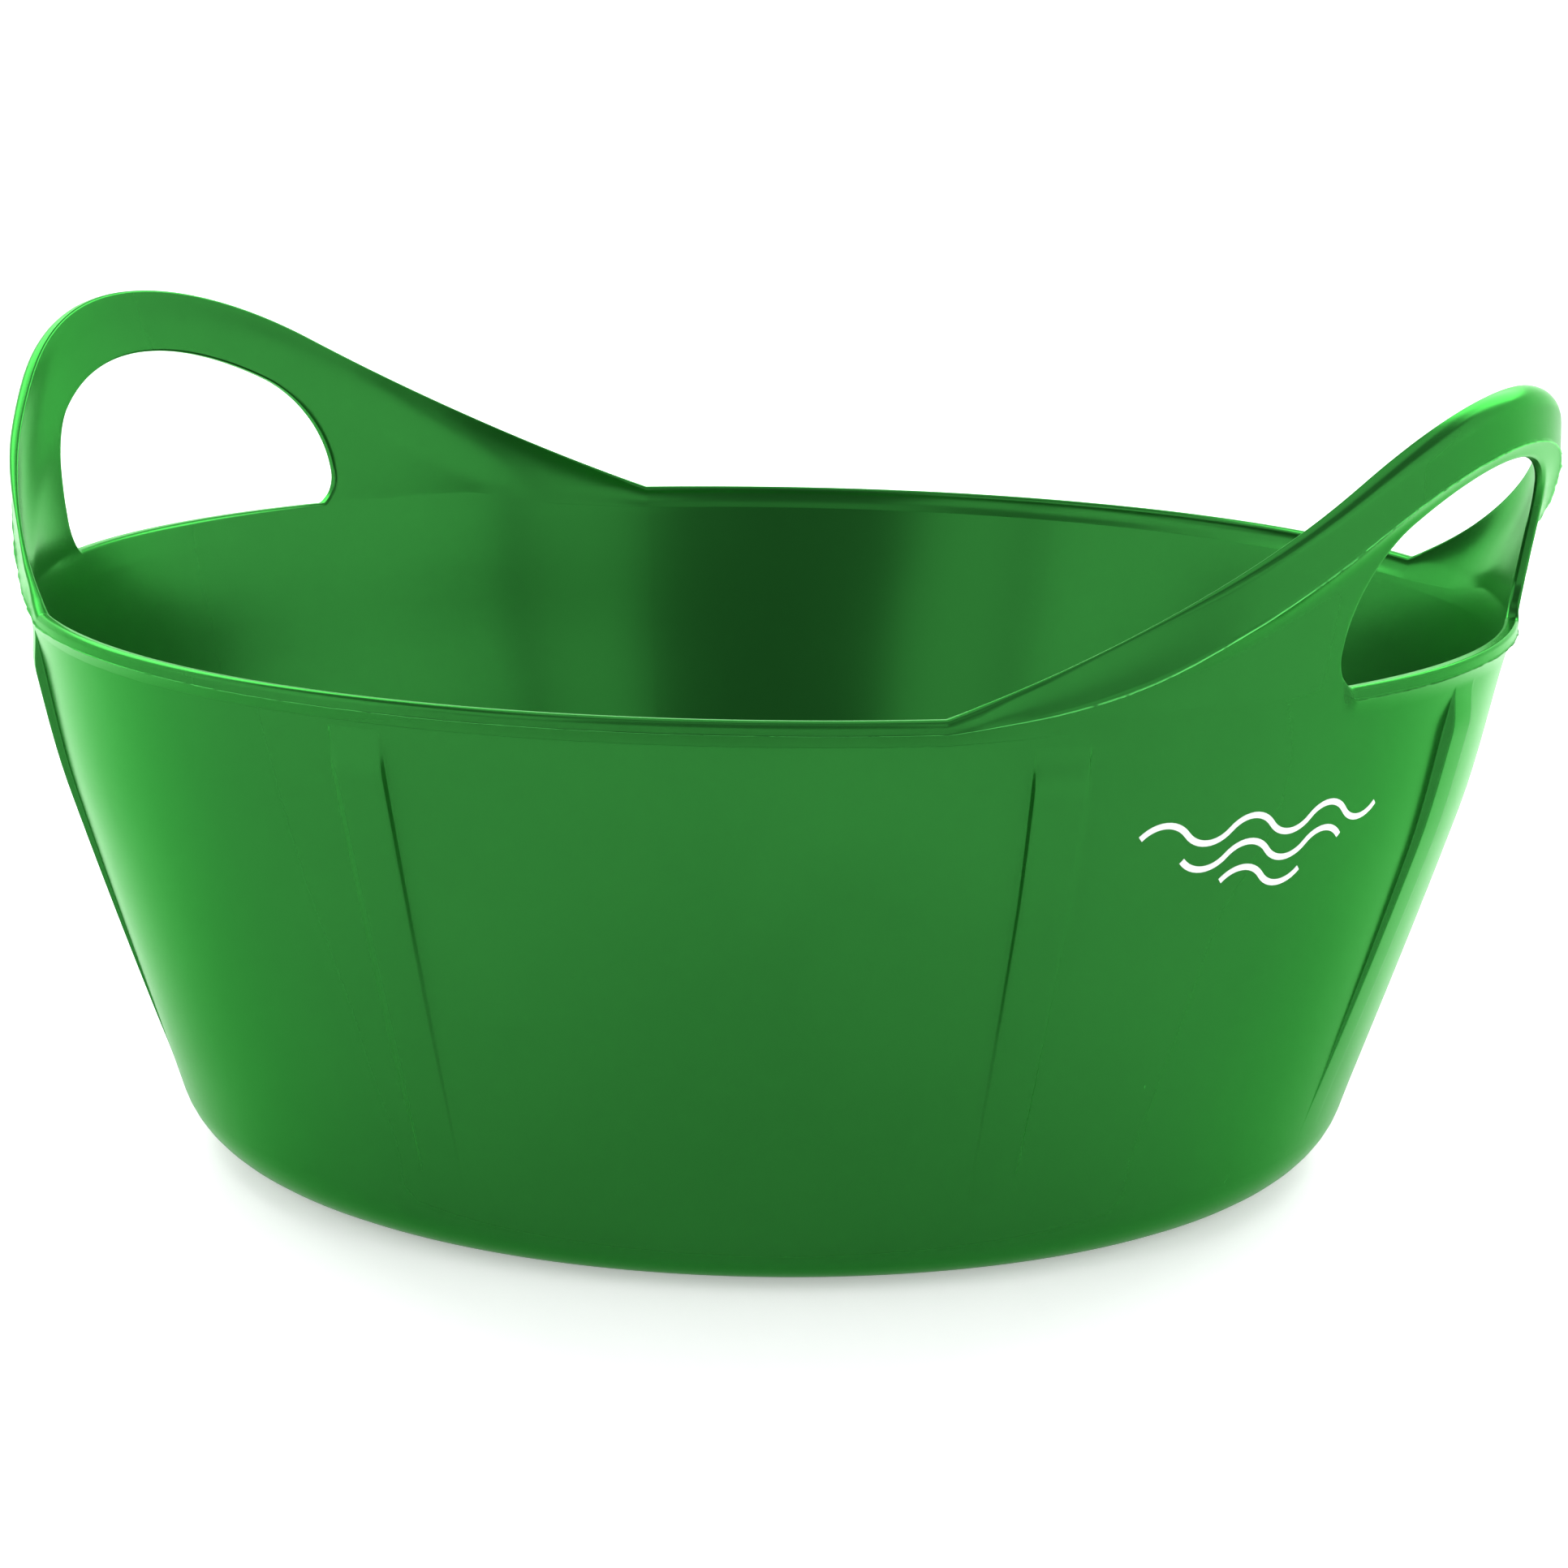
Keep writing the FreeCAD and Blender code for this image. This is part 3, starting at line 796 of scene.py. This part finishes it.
    def strip(self, first: int, second: int, columns: Sequence[int]) -> List[Face]:
        """Faces between two rows.

        Args:
            first: Row on the near side.
            second: Row on the far side.
            columns: Columns where the faces start.

        Returns:
            The faces, without those that have shrunk to nothing.
        """
        count = len(self.local)
        faces = []
        for column in columns:
            following = (column + 1) % count
            corners = (self.ids[first, column], self.ids[first, following],
                       self.ids[second, following], self.ids[second, column])
            kept = tuple(dict.fromkeys(int(corner) for corner in corners))
            if len(kept) > 2:
                faces.append(kept)
        return faces

    def all_faces(self) -> Dict[Piece, List[Face]]:
        """Cuts the grid into the faces of each piece's outside, inside and hand holes.

        Returns:
            The faces of each piece.
        """
        last = len(self.rows) - 1
        for pole in (0, last):
            self.ids[pole, :] = self.ids[pole, 0]
        columns = range(len(self.local))
        owners = [self.piece_at(column) for column in columns]
        hole = [c for c in columns if self.in_hole[c] or self.in_hole[(c + 1) % len(self.local)]]
        faces: Dict[Piece, List[Face]] = {piece: [] for piece in Piece}
        gaps = (self.marks["outer_slit"], self.marks["inner_slit"])
        for row in range(last):
            if row in gaps:
                continue
            if row < self.marks["outer_floor"] or row >= self.marks["inner_floor"]:
                faces[Piece.FLOOR] += self.strip(row, row + 1, columns)
            elif row < self.marks["outer_lip"] or row >= self.marks["inner_lip"]:
                faces[Piece.WALL] += self.strip(row, row + 1, columns)
            else:
                for piece in set(owners):
                    faces[piece] += self.strip(row, row + 1, [c for c in columns if owners[c] is piece])
        for piece in (Piece.HANDLE_LEFT, Piece.HANDLE_RIGHT):
            own = [column for column in hole if owners[column] is piece]
            faces[piece] += self.strip(gaps[0], gaps[1] + 1, own)
            faces[piece] += self.strip(gaps[1], gaps[0] + 1, own)
        return faces

    def cut_faces(self, piece: Piece) -> List[Face]:
        """Flat faces that close a piece where it is cut from its neighbours.

        Args:
            piece: The piece to close.

        Returns:
            The closing faces.
        """
        columns = range(len(self.local))
        low = (self.marks["outer_floor"], self.marks["inner_floor"])
        high = (self.marks["outer_lip"], self.marks["inner_lip"])
        if piece is Piece.FLOOR:
            return self.strip(low[0], low[1], columns)
        if piece is Piece.WALL:
            return self.strip(high[0], high[1], columns) + self.strip(low[1], low[0], columns)
        own = [column for column in columns if self.piece_at(column) is piece]
        held = set(own)
        start = next(column for column in own if (column - 1) % len(self.local) not in held)
        end = next((column + 1) % len(self.local) for column in own
                   if (column + 1) % len(self.local) not in held)
        rows = range(high[0], high[1] + 1)
        loops = [tuple(dict.fromkeys(int(self.ids[row, column]) for row in rows)) for column in (start, end)]
        return self.strip(high[1], high[0], own) + [loops[0], loops[1][::-1]]

    def point_normals(self) -> Array:
        """Direction of the skin at every point, from all the faces round it.

        Returns:
            One direction of length 1 to each point.
        """
        flat = self.points.reshape(-1, 3)
        total = np.zeros_like(flat)
        for faces in self.faces.values():
            for size in (3, 4):
                group = np.array([face for face in faces if len(face) == size], dtype=int)
                if len(group) == 0:
                    continue
                across = flat[group[:, 2]] - flat[group[:, 0]]
                other = flat[group[:, -1]] - flat[group[:, 1]]
                normal = np.cross(across, other)
                for corner in range(size):
                    np.add.at(total, group[:, corner], normal)
        length = np.linalg.norm(total, axis=1, keepdims=True)
        return total / np.maximum(length, 1.0e-12)

    def build(self, piece: Piece) -> bpy.types.Object:
        """Makes the Blender object of one piece, closed, with the whole skin's smooth shading.

        Args:
            piece: The piece to build.

        Returns:
            The new object.
        """
        shell = self.faces[piece]
        faces = shell + self.cut_faces(piece)
        used = np.unique(np.concatenate([np.array(face) for face in faces]))
        place = {int(old): new for new, old in enumerate(used)}
        points = self.points.reshape(-1, 3)[used]
        mesh = bpy.data.meshes.new(piece.value)
        corner_ids = [[place[index] for index in face] for face in faces]
        mesh.from_pydata([tuple(point) for point in points], [], corner_ids)
        mesh.update()
        mesh.shade_smooth()
        corners = []
        for number, face in enumerate(faces):
            if number < len(shell):
                corners.extend(tuple(self.normals[index]) for index in face)
            else:
                corners.extend([tuple(mesh.polygons[number].normal)] * len(face))
        mesh.normals_split_custom_set(corners)
        # Painted highlight along the parting line, read by the plastic's colour.
        parting_highlight = mesh.attributes.new("parting_highlight", "FLOAT", "POINT")
        parting_highlight.data.foreach_set("value", np.array(self.highlight_share).reshape(-1)[used].astype(np.float32))
        return add_object(piece.value, mesh)


def add_object(name: str, mesh: bpy.types.Mesh) -> bpy.types.Object:
    """Puts a mesh into the scene.

    Args:
        name: The object's name.
        mesh: Its mesh.

    Returns:
        The new object.
    """
    piece = bpy.data.objects.new(name, mesh)
    bpy.context.scene.collection.objects.link(piece)
    return piece


# -------------------------------------------------------------------------------------- finishes


@dataclass(frozen=True)
class Socket:
    """A value that a node gives, with Python operators that add Math nodes."""

    nodes: "Nodes"
    link: Any

    def math(self, operation: str, *others: Union["Socket", float]) -> "Socket":
        """Result of one Math node on this value and others."""
        return self.nodes.add("ShaderNodeMath", {"operation": operation}, dict(enumerate((self, *others))))

    def __add__(self, other: Union["Socket", float]) -> "Socket":
        """This value plus another."""
        return self.math("ADD", other)

    __radd__ = __add__

    def __mul__(self, other: Union["Socket", float]) -> "Socket":
        """This value times another."""
        return self.math("MULTIPLY", other)

    __rmul__ = __mul__

    def __sub__(self, other: Union["Socket", float]) -> "Socket":
        """This value less another."""
        return self.math("SUBTRACT", other)

    def __rsub__(self, other: float) -> "Socket":
        """A number less this value."""
        return self * -1.0 + other

    def ramp(self, low: float, high: float) -> "Socket":
        """A smooth step of this value from 0 at low to 1 at high."""
        inputs = {"Value": self, "From Min": low, "From Max": high}
        return self.nodes.add("ShaderNodeMapRange", {"interpolation_type": "SMOOTHSTEP"}, inputs)


@dataclass
class Nodes:
    """The node tree of one material."""

    material: bpy.types.Material

    @classmethod
    def start(cls, name: str) -> "Nodes":
        """A new material's empty tree.

        Args:
            name: The material's name.

        Returns:
            The tree.
        """
        material = bpy.data.materials.new(name)
        material.use_nodes = True
        material.node_tree.nodes.clear()
        return cls(material)

    def add(self, kind: str, settings: Dict[str, Any], inputs: Dict[Any, Any], output: Any = 0) -> Socket:
        """Adds any node.

        Args:
            kind: The node's type.
            settings: Its properties, set first.
            inputs: Values or links of its sockets, by name or number.
            output: Name or number of the wanted output.

        Returns:
            The wanted output.
        """
        node = self.material.node_tree.nodes.new(kind)
        for name, value in settings.items():
            setattr(node, name, value)
        for key, value in inputs.items():
            if isinstance(value, Socket):
                self.material.node_tree.links.new(value.link, node.inputs[key])
            else:
                node.inputs[key].default_value = value
        return Socket(self, node.outputs[output])

    def place(self) -> Socket:
        """Place on the object, in metres."""
        return self.add("ShaderNodeTexCoord", {}, {}, "Object")

    def noise(self, place: Socket, scale: float, detail: float = 3.0, roughness: float = 0.5) -> Socket:
        """Soft noise from 0 to 1.

        Args:
            place: Where it is read.
            scale: Grains to the metre.
            detail: How many finer layers it has.
            roughness: How strong those layers are.

        Returns:
            The noise.
        """
        inputs = {"Vector": place, "Scale": scale, "Detail": detail, "Roughness": roughness}
        return self.add("ShaderNodeTexNoise", {}, inputs, "Fac")

    def blend(self, share: Union[Socket, float], first: Any, second: Any) -> Socket:
        """Colour between two others.

        Args:
            share: 0 for the first, 1 for the second.
            first: A colour or a link.
            second: A colour or a link.

        Returns:
            The mixed colour.
        """
        inputs = {0: share, 6: first, 7: second}
        return self.add("ShaderNodeMix", {"data_type": "RGBA"}, inputs, 2)

    def stretch(self, place: Socket, factors: Tuple[float, float, float]) -> Socket:
        """The place with each axis scaled, for drawn-out grain."""
        return self.add("ShaderNodeVectorMath", {"operation": "MULTIPLY"}, {0: place, 1: factors})

    def bump(self, height: Socket, strength: float, depth: float, under: Optional[Socket] = None) -> Socket:
        """Surface direction over small bumps.

        Args:
            height: Height of the bumps, 0 to 1.
            strength: How strongly they show.
            depth: Height in metres that 1 stands for.
            under: Coarser bumps that these sit on.

        Returns:
            The direction.
        """
        inputs: Dict[Any, Any] = {"Height": height, "Strength": strength, "Distance": depth}
        if under is not None:
            inputs["Normal"] = under
        return self.add("ShaderNodeBump", {}, inputs)

    def close(self, shader: Socket) -> bpy.types.Material:
        """Ends the tree with a surface shader.

        Args:
            shader: The shader.

        Returns:
            The material.
        """
        output = self.material.node_tree.nodes.new("ShaderNodeOutputMaterial")
        self.material.node_tree.links.new(shader.link, output.inputs["Surface"])
        return self.material


@dataclass(frozen=True)
class GreenPlastic:
    """Satin-gloss moulded polyethylene in a deep green that tints its own reflections.

    Attributes:
        deep: Colour of the darker clouds.
        bright: Colour of the brighter clouds.
        pale: Colour of the painted highlight along the parting line, and of real scuffs.
        sheen: Tint of reflections at a glancing angle.
        gloss: Middle roughness.
        lustre: Share of the light that is reflected in the plastic's own colour.
    """

    deep: Colour = (0.018, 0.130, 0.0222, 1.0)
    bright: Colour = (0.020, 0.142, 0.0242, 1.0)
    pale: Colour = (0.10, 0.55, 0.12, 1.0)
    sheen: Colour = (0.54, 1.0, 0.55, 1.0)
    gloss: float = 0.23
    lustre: float = 0.72

    def build(self) -> bpy.types.Material:
        """Makes the material.

        Returns:
            The material.
        """
        nodes = Nodes.start("green_plastic")
        place = nodes.place()
        cloud = nodes.noise(place, 9.0, 4.0, 0.55)
        grain = nodes.noise(place, 620.0, 2.0, 0.5)
        drawn = nodes.noise(nodes.stretch(place, (1.0, 1.0, 0.12)), 260.0, 4.0, 0.6)
        parting_highlight = nodes.add("ShaderNodeAttribute", {"attribute_name": "parting_highlight"}, {}, "Fac")
        scuff = drawn.ramp(0.68, 0.80) * cloud.ramp(0.50, 0.7)
        tone = nodes.blend(cloud.ramp(0.3, 0.7), self.deep, self.bright)
        # Painted highlight: the parting line is lightened towards the pale colour and broken up by noise;
        # scuffs are real wear.
        parting_glint = parting_highlight.ramp(0.2, 0.8) * nodes.noise(place, 240.0, 2.0).ramp(0.30, 0.44)
        tone = nodes.blend(parting_glint * 0.9 + scuff * 0.04, tone, self.pale)
        roughness = self.gloss + (cloud - 0.5) * 0.06 + scuff * 0.06 + (grain - 0.5) * 0.03
        waves = nodes.bump(nodes.noise(place, 22.0, 1.0), 0.5, 0.0003)
        peel = nodes.bump(grain, 0.2, 0.00002, waves)
        scratch = nodes.bump(drawn, 0.08, 0.00002, peel)
        inputs = {"Base Color": tone, "Roughness": roughness, "Normal": scratch, "Metallic": self.lustre,
                  "Specular IOR Level": 0.0, "Specular Tint": self.sheen}
        return nodes.close(nodes.add("ShaderNodeBsdfPrincipled", {}, inputs))


@dataclass(frozen=True)
class PaleInk:
    """Thin silver-white printing ink, slightly broken where it sits on the plastic's grain.

    Attributes:
        ink: Colour of the whole ink.
        worn: Colour where the plastic shows through.
    """

    ink: Colour = (0.76, 0.79, 0.77, 1.0)
    worn: Colour = (0.24, 0.42, 0.26, 1.0)

    def build(self) -> bpy.types.Material:
        """Makes the material.

        Returns:
            The material.
        """
        nodes = Nodes.start("pale_ink")
        place = nodes.place()
        speck = nodes.noise(place, 1500.0, 3.0, 0.6)
        patch = nodes.noise(place, 90.0, 2.0)
        tone = nodes.blend(speck.ramp(0.60, 0.75) * 0.5 + patch.ramp(0.6, 0.8) * 0.15, self.ink, self.worn)
        surface = nodes.bump(speck, 0.3, 0.00005)
        inputs = {"Base Color": tone, "Roughness": 0.34 + (patch - 0.5) * 0.2, "Normal": surface}
        return nodes.close(nodes.add("ShaderNodeBsdfPrincipled", {}, inputs))


@dataclass(frozen=True)
class StudioCard:
    """Matt white card of the studio floor and backdrop, which glows so that it stays white.

    Attributes:
        name: The material's name.
        tone: Colour of the card.
        glow: Strength of its own light.
    """

    name: str
    tone: Colour
    glow: float

    def build(self) -> bpy.types.Material:
        """Makes the material.

        Returns:
            The material.
        """
        nodes = Nodes.start(self.name)
        fleck = nodes.noise(nodes.place(), 40.0, 2.0)
        darker = (*(part * 0.98 for part in self.tone[:3]), 1.0)
        tone = nodes.blend(fleck, self.tone, darker)
        inputs = {"Base Color": tone, "Roughness": 0.9, "Emission Color": self.tone,
                  "Emission Strength": self.glow, "Specular IOR Level": 0.2}
        return nodes.close(nodes.add("ShaderNodeBsdfPrincipled", {}, inputs))


# ---------------------------------------------------------------------------------- sub-assemblies


@dataclass
class TubBody:
    """Floor, wall and the plain parts of the rim, which stand still.

    Attributes:
        skin: The whole skin.
        finish: Its plastic.
    """

    skin: Skin
    finish: bpy.types.Material

    def build(self) -> List[bpy.types.Object]:
        """Builds the still pieces and ties them to the tub's body.

        Returns:
            The pieces.
        """
        stands_for = {
            Piece.FLOOR: ("tub_floor",),
            Piece.WALL: ("side_wall",),
            Piece.LIP_NEAR: ("rim_lip",),
            Piece.LIP_FAR: ("rim_lip",),
        }
        made = []
        for piece, nodes in stands_for.items():
            shell = self.skin.build(piece)
            shell.data.materials.append(self.finish)
            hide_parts(*nodes)
            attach(shell, "tub")
            made.append(shell)
        return made


@dataclass
class Handle:
    """One handle with its legs and its rolled grip, which stays still here; the real grip bends inwards
    under the hand.

    Attributes:
        skin: The whole skin.
        piece: Which piece of the skin it is.
        body: Name of the CAD handle whose legs and grip nodes it hides.
        finish: Its plastic.
        bend_start: Height over the rim where a bend would start, in mm; not used.
        bend_end: Height over the rim where a bend would end, in mm; not used.
    """

    skin: Skin
    piece: Piece
    body: str
    finish: bpy.types.Material
    bend_start: float = 2.0
    bend_end: float = 58.0

    def build(self) -> bpy.types.Object:
        """Builds the handle and hides the CAD legs and grip that it stands for.

        Returns:
            The handle.
        """
        shell = self.skin.build(self.piece)
        shell.data.materials.append(self.finish)
        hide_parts(f"{self.body}_legs", f"{self.body}_grip")
        side = 1.0 if self.piece is Piece.HANDLE_RIGHT else -1.0
        tub = self.skin.tub
        across = side * tub.rim_radius * MM
        start = (across, 0.0, (tub.rim_height + self.bend_start) * MM)
        end = (across, 0.0, (tub.rim_height + self.bend_end) * MM)
        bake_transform(shell)
        return shell


@dataclass
class PrintedMark:
    """Three printed waves on the wall. Sizes in mm and degrees.

    Attributes:
        tub: The tub whose wall it is printed on.
        finish: Its ink.
        humps: Number of arcs of each stroke, from the top one down.
        middle_angle: Angle of the mark's middle from the right handle's middle.
        middle_height: Height of its middle over the floor.
        pitch: Distance from one stroke to the next.
        chord: Length of one arc along the wall.
        radius: Radius of the arcs.
        width: Width of a stroke.
        relief: Thickness of the ink.
        steps: Number of straight stretches in one arc.
    """

    tub: TubShape
    finish: bpy.types.Material
    humps: Tuple[int, ...] = (6, 4, 2)
    middle_angle: float = -22.8
    middle_height: float = 110.0
    pitch: float = 6.5
    chord: float = 13.0
    radius: float = 9.0
    width: float = 1.6
    relief: float = 0.12
    steps: int = 12

    def centre_line(self, count: int) -> List[Tuple[float, float]]:
        """Middle of one stroke of joined arcs, bending up and down in turn.

        Args:
            count: Number of arcs.

        Returns:
            Places along the wall and heights from the stroke's own line.
        """
        half = math.asin(self.chord / 2.0 / self.radius)
        drop = self.radius * math.cos(half)
        skipped = (self.humps[0] - count) // 2
        points = []
        for hump in range(count):
            middle = (hump + 0.5 - count / 2.0) * self.chord
            side = 1.0 if (hump + skipped) % 2 == 0 else -1.0
            first = 0 if hump == 0 else 1
            for step in range(first, self.steps + 1):
                turn = -half + 2.0 * half * step / self.steps
                bulge = self.radius * math.cos(turn) - drop
                points.append((middle + self.radius * math.sin(turn), side * bulge))
        return points

    def on_wall(self, along: float, height: float, relief: float) -> Vector:
        """Point on or near the wall, from a place in the mark's own flat layout.

        Args:
            along: Place along the wall from the mark's middle.
            height: Height over the floor.
            relief: Distance out from the wall.

        Returns:
            The point in metres.
        """
        radius = float(self.tub.wall_radius(self.middle_angle, height))
        turn = math.radians(self.middle_angle) + along / radius
        outer = radius + relief
        return Vector((outer * math.cos(turn), outer * math.sin(turn), height)) * MM

    def build(self) -> bpy.types.Object:
        """Builds the strokes, each a thin closed ribbon that follows the wall.

        Returns:
            The printed mark.
        """
        section = ((-1.0, -0.1), (-0.92, 0.6), (-0.5, 0.95), (0.5, 0.95), (0.92, 0.6), (1.0, -0.1))
        points: List[Vector] = []
        faces: List[Face] = []
        for row, count in enumerate(self.humps):
            height = self.middle_height + (1.0 - row) * self.pitch
            line = self.centre_line(count)
            start = len(points)
            for index, (along, up) in enumerate(line):
                before = line[max(index - 1, 0)]
                after = line[min(index + 1, len(line) - 1)]
                run = Vector((after[0] - before[0], after[1] - before[1])).normalized()
                for side, lift in section:
                    reach = side * self.width / 2.0
                    points.append(self.on_wall(along - run.y * reach, height + up + run.x * reach,
                                               lift * self.relief))
            size = len(section)
            for index in range(len(line) - 1):
                for corner in range(size):
                    near = start + index * size + corner
                    beside = start + index * size + (corner + 1) % size
                    faces.append((near, beside, beside + size, near + size))
            faces.append(tuple(range(start, start + size))[::-1])
            faces.append(tuple(range(len(points) - size, len(points))))
        mesh = bpy.data.meshes.new("printed_waves")
        mesh.from_pydata([tuple(point) for point in points], [], [face[::-1] for face in faces])
        mesh.update()
        mesh.materials.append(self.finish)
        mark = add_object("printed_waves", mesh)
        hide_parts("printed_mark")
        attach(mark, "tub")
        return mark


# ---------------------------------------------------------------------------------------- studio


@dataclass
class Studio:
    """Pale floor, pale backdrop, soft lights and the camera. Sizes in metres, the view angle in degrees.

    Attributes:
        view_angle: Angle round the tub from which the camera looks.
        floor_radius: Radius of the floor.
        backdrop_radius: Distance of the backdrop from the tub's axis.
        backdrop_height: Height of the backdrop.
        cove: Radius of the bend between floor and backdrop.
        camera_distance: Distance of the camera from the tub's axis.
        camera_height: Height of the camera over the floor.
        camera_yaw: Turn of its aim to the right, in radians.
        camera_pitch: Tilt of its aim downwards, in radians.
        camera_roll: Turn about its aim, in radians.
        lens: Focal length in mm.
        aim_height: Height that the light panels face.
    """

    view_angle: float = 28.5
    floor_radius: float = 4.0
    backdrop_radius: float = 3.4
    backdrop_height: float = 3.2
    cove: float = 0.6
    camera_distance: float = 1.104057
    camera_height: float = 0.320544
    camera_yaw: float = 0.004
    camera_pitch: float = 0.203
    camera_roll: float = 0.019
    lens: float = 95.78
    aim_height: float = 0.08

    def facing(self, angle: float, distance: float, height: float) -> Vector:
        """Point round the tub, by its angle from the camera's side.

        Args:
            angle: Angle to the right of the camera, seen from the tub.
            distance: Distance from the tub's axis.
            height: Height over the floor.

        Returns:
            The point.
        """
        turn = math.radians(self.view_angle - 90.0 + angle)
        return Vector((distance * math.cos(turn), distance * math.sin(turn), height))

    def build_card(self, name: str, rings: List[Tuple[float, float]], start: float, end: float, steps: int,
                   finish: bpy.types.Material) -> None:
        """Makes a turned sheet of card from its section.

        Args:
            name: The sheet's name.
            rings: Distance and height of each ring.
            start: First angle from the camera's side.
            end: Last angle from the camera's side.
            steps: Number of strips round it.
            finish: Its material.
        """
        points = [self.facing(start + (end - start) * step / steps, distance, height)
                  for distance, height in rings for step in range(steps + 1)]
        row = steps + 1
        faces = [(r * row + c, r * row + c + 1, (r + 1) * row + c + 1, (r + 1) * row + c)
                 for r in range(len(rings) - 1) for c in range(steps)]
        mesh = bpy.data.meshes.new(name)
        mesh.from_pydata([tuple(point) for point in points], [], faces)
        mesh.shade_smooth()
        mesh.materials.append(finish)
        add_object(name, mesh)

    def add_panel(self, name: str, angle: float, distance: float, height: float, size: Tuple[float, float],
                  power: float) -> None:
        """Adds a soft light panel that faces the tub.

        Args:
            name: The light's name.
            angle: Angle to the right of the camera, seen from the tub.
            distance: Distance from the tub's axis.
            height: Height over the floor.
            size: Width and height of the panel.
            power: Power in watts.
        """
        light = bpy.data.lights.new(name, "AREA")
        light.shape = "RECTANGLE"
        light.size, light.size_y = size
        light.energy = power
        panel = bpy.data.objects.new(name, light)
        panel.location = self.facing(angle, distance, height)
        aim = Vector((0.0, 0.0, self.aim_height)) - panel.location
        panel.rotation_euler = aim.to_track_quat("-Z", "Y").to_euler()
        bpy.context.scene.collection.objects.link(panel)

    def add_camera(self) -> None:
        """Adds the camera at the viewing angle."""
        yaw, pitch, roll = self.camera_yaw, self.camera_pitch, self.camera_roll
        ahead = Vector((math.sin(yaw) * math.cos(pitch), math.cos(yaw) * math.cos(pitch), -math.sin(pitch)))
        level = Vector((math.cos(yaw), -math.sin(yaw), 0.0))
        above = level.cross(ahead)
        right = math.cos(roll) * level + math.sin(roll) * above
        up = -math.sin(roll) * level + math.cos(roll) * above
        turn = Matrix.Rotation(math.radians(self.view_angle), 3, "Z")
        axes = Matrix((turn @ right, turn @ up, turn @ -ahead)).transposed()
        data = bpy.data.cameras.new("camera")
        data.lens = self.lens
        data.sensor_width = 36.0
        data.clip_start = 0.01
        camera = bpy.data.objects.new("camera", data)
        place = turn @ Vector((0.0, -self.camera_distance, self.camera_height))
        camera.matrix_world = Matrix.Translation(place) @ axes.to_4x4()
        bpy.context.scene.collection.objects.link(camera)
        bpy.context.scene.camera = camera

    def build(self) -> None:
        """Builds the whole studio."""
        floor = StudioCard("floor_card", (0.90, 0.90, 0.90, 1.0), 0.42).build()
        wall = StudioCard("backdrop_card", (0.92, 0.92, 0.92, 1.0), 1.02).build()
        self.build_card("studio_floor", [(0.0001, 0.0), (0.5, 0.0), (1.5, 0.0), (self.floor_radius, 0.0)],
                        0.0, 360.0, 96, floor)
        turns = [math.pi / 2.0 * step / 10 for step in range(11)]
        bend = [(self.backdrop_radius - self.cove * (1.0 - math.sin(turn)),
                 0.002 + self.cove * (1.0 - math.cos(turn))) for turn in turns]
        self.build_card("studio_backdrop", bend + [(self.backdrop_radius, self.backdrop_height)],
                        50.0, 310.0, 72, wall)
        self.add_panel("panel_left", -36.0, 1.9, 0.95, (0.75, 1.5), 5.0)
        self.add_panel("panel_right", 36.0, 1.9, 0.95, (0.75, 1.5), 5.0)
        self.add_panel("panel_above", 180.0, 0.6, 2.3, (1.6, 1.6), 12.0)
        self.add_panel("panel_over_front", 0.0, 1.15, 2.0, (1.8, 0.7), 3.0)
        self.add_panel("panel_back_left", -142.0, 1.3, 1.1, (1.0, 0.8), 17.5)
        self.add_panel("panel_back_right", 142.0, 1.3, 1.1, (1.0, 0.8), 17.5)
        world = bpy.data.worlds.new("studio_air")
        world.use_nodes = True
        background = world.node_tree.nodes["Background"]
        background.inputs["Color"].default_value = (0.95, 0.97, 1.0, 1.0)
        background.inputs["Strength"].default_value = 0.35
        bpy.context.scene.world = world
        bpy.context.scene.view_settings.view_transform = "Standard"
        self.add_camera()


def main() -> None:
    """Builds the tub, its handles, its mark and the studio."""
    logging.basicConfig(level=logging.INFO, format="%(name)s: %(message)s")
    tub = TubShape()
    handle = HandleShape(tub)
    skin = Skin(tub, handle, SkinColumns(tub, handle))
    green = GreenPlastic().build()
    pieces = TubBody(skin, green).build()
    pieces.append(Handle(skin, Piece.HANDLE_RIGHT, "handle_right", green).build())
    pieces.append(Handle(skin, Piece.HANDLE_LEFT, "handle_left", green).build())
    pieces.append(PrintedMark(tub, PaleInk().build()).build())
    for piece in pieces:
        LOG.info("%s has %d points", piece.name, len(piece.data.vertices))
    Studio().build()


if __name__ == "__main__":
    main()
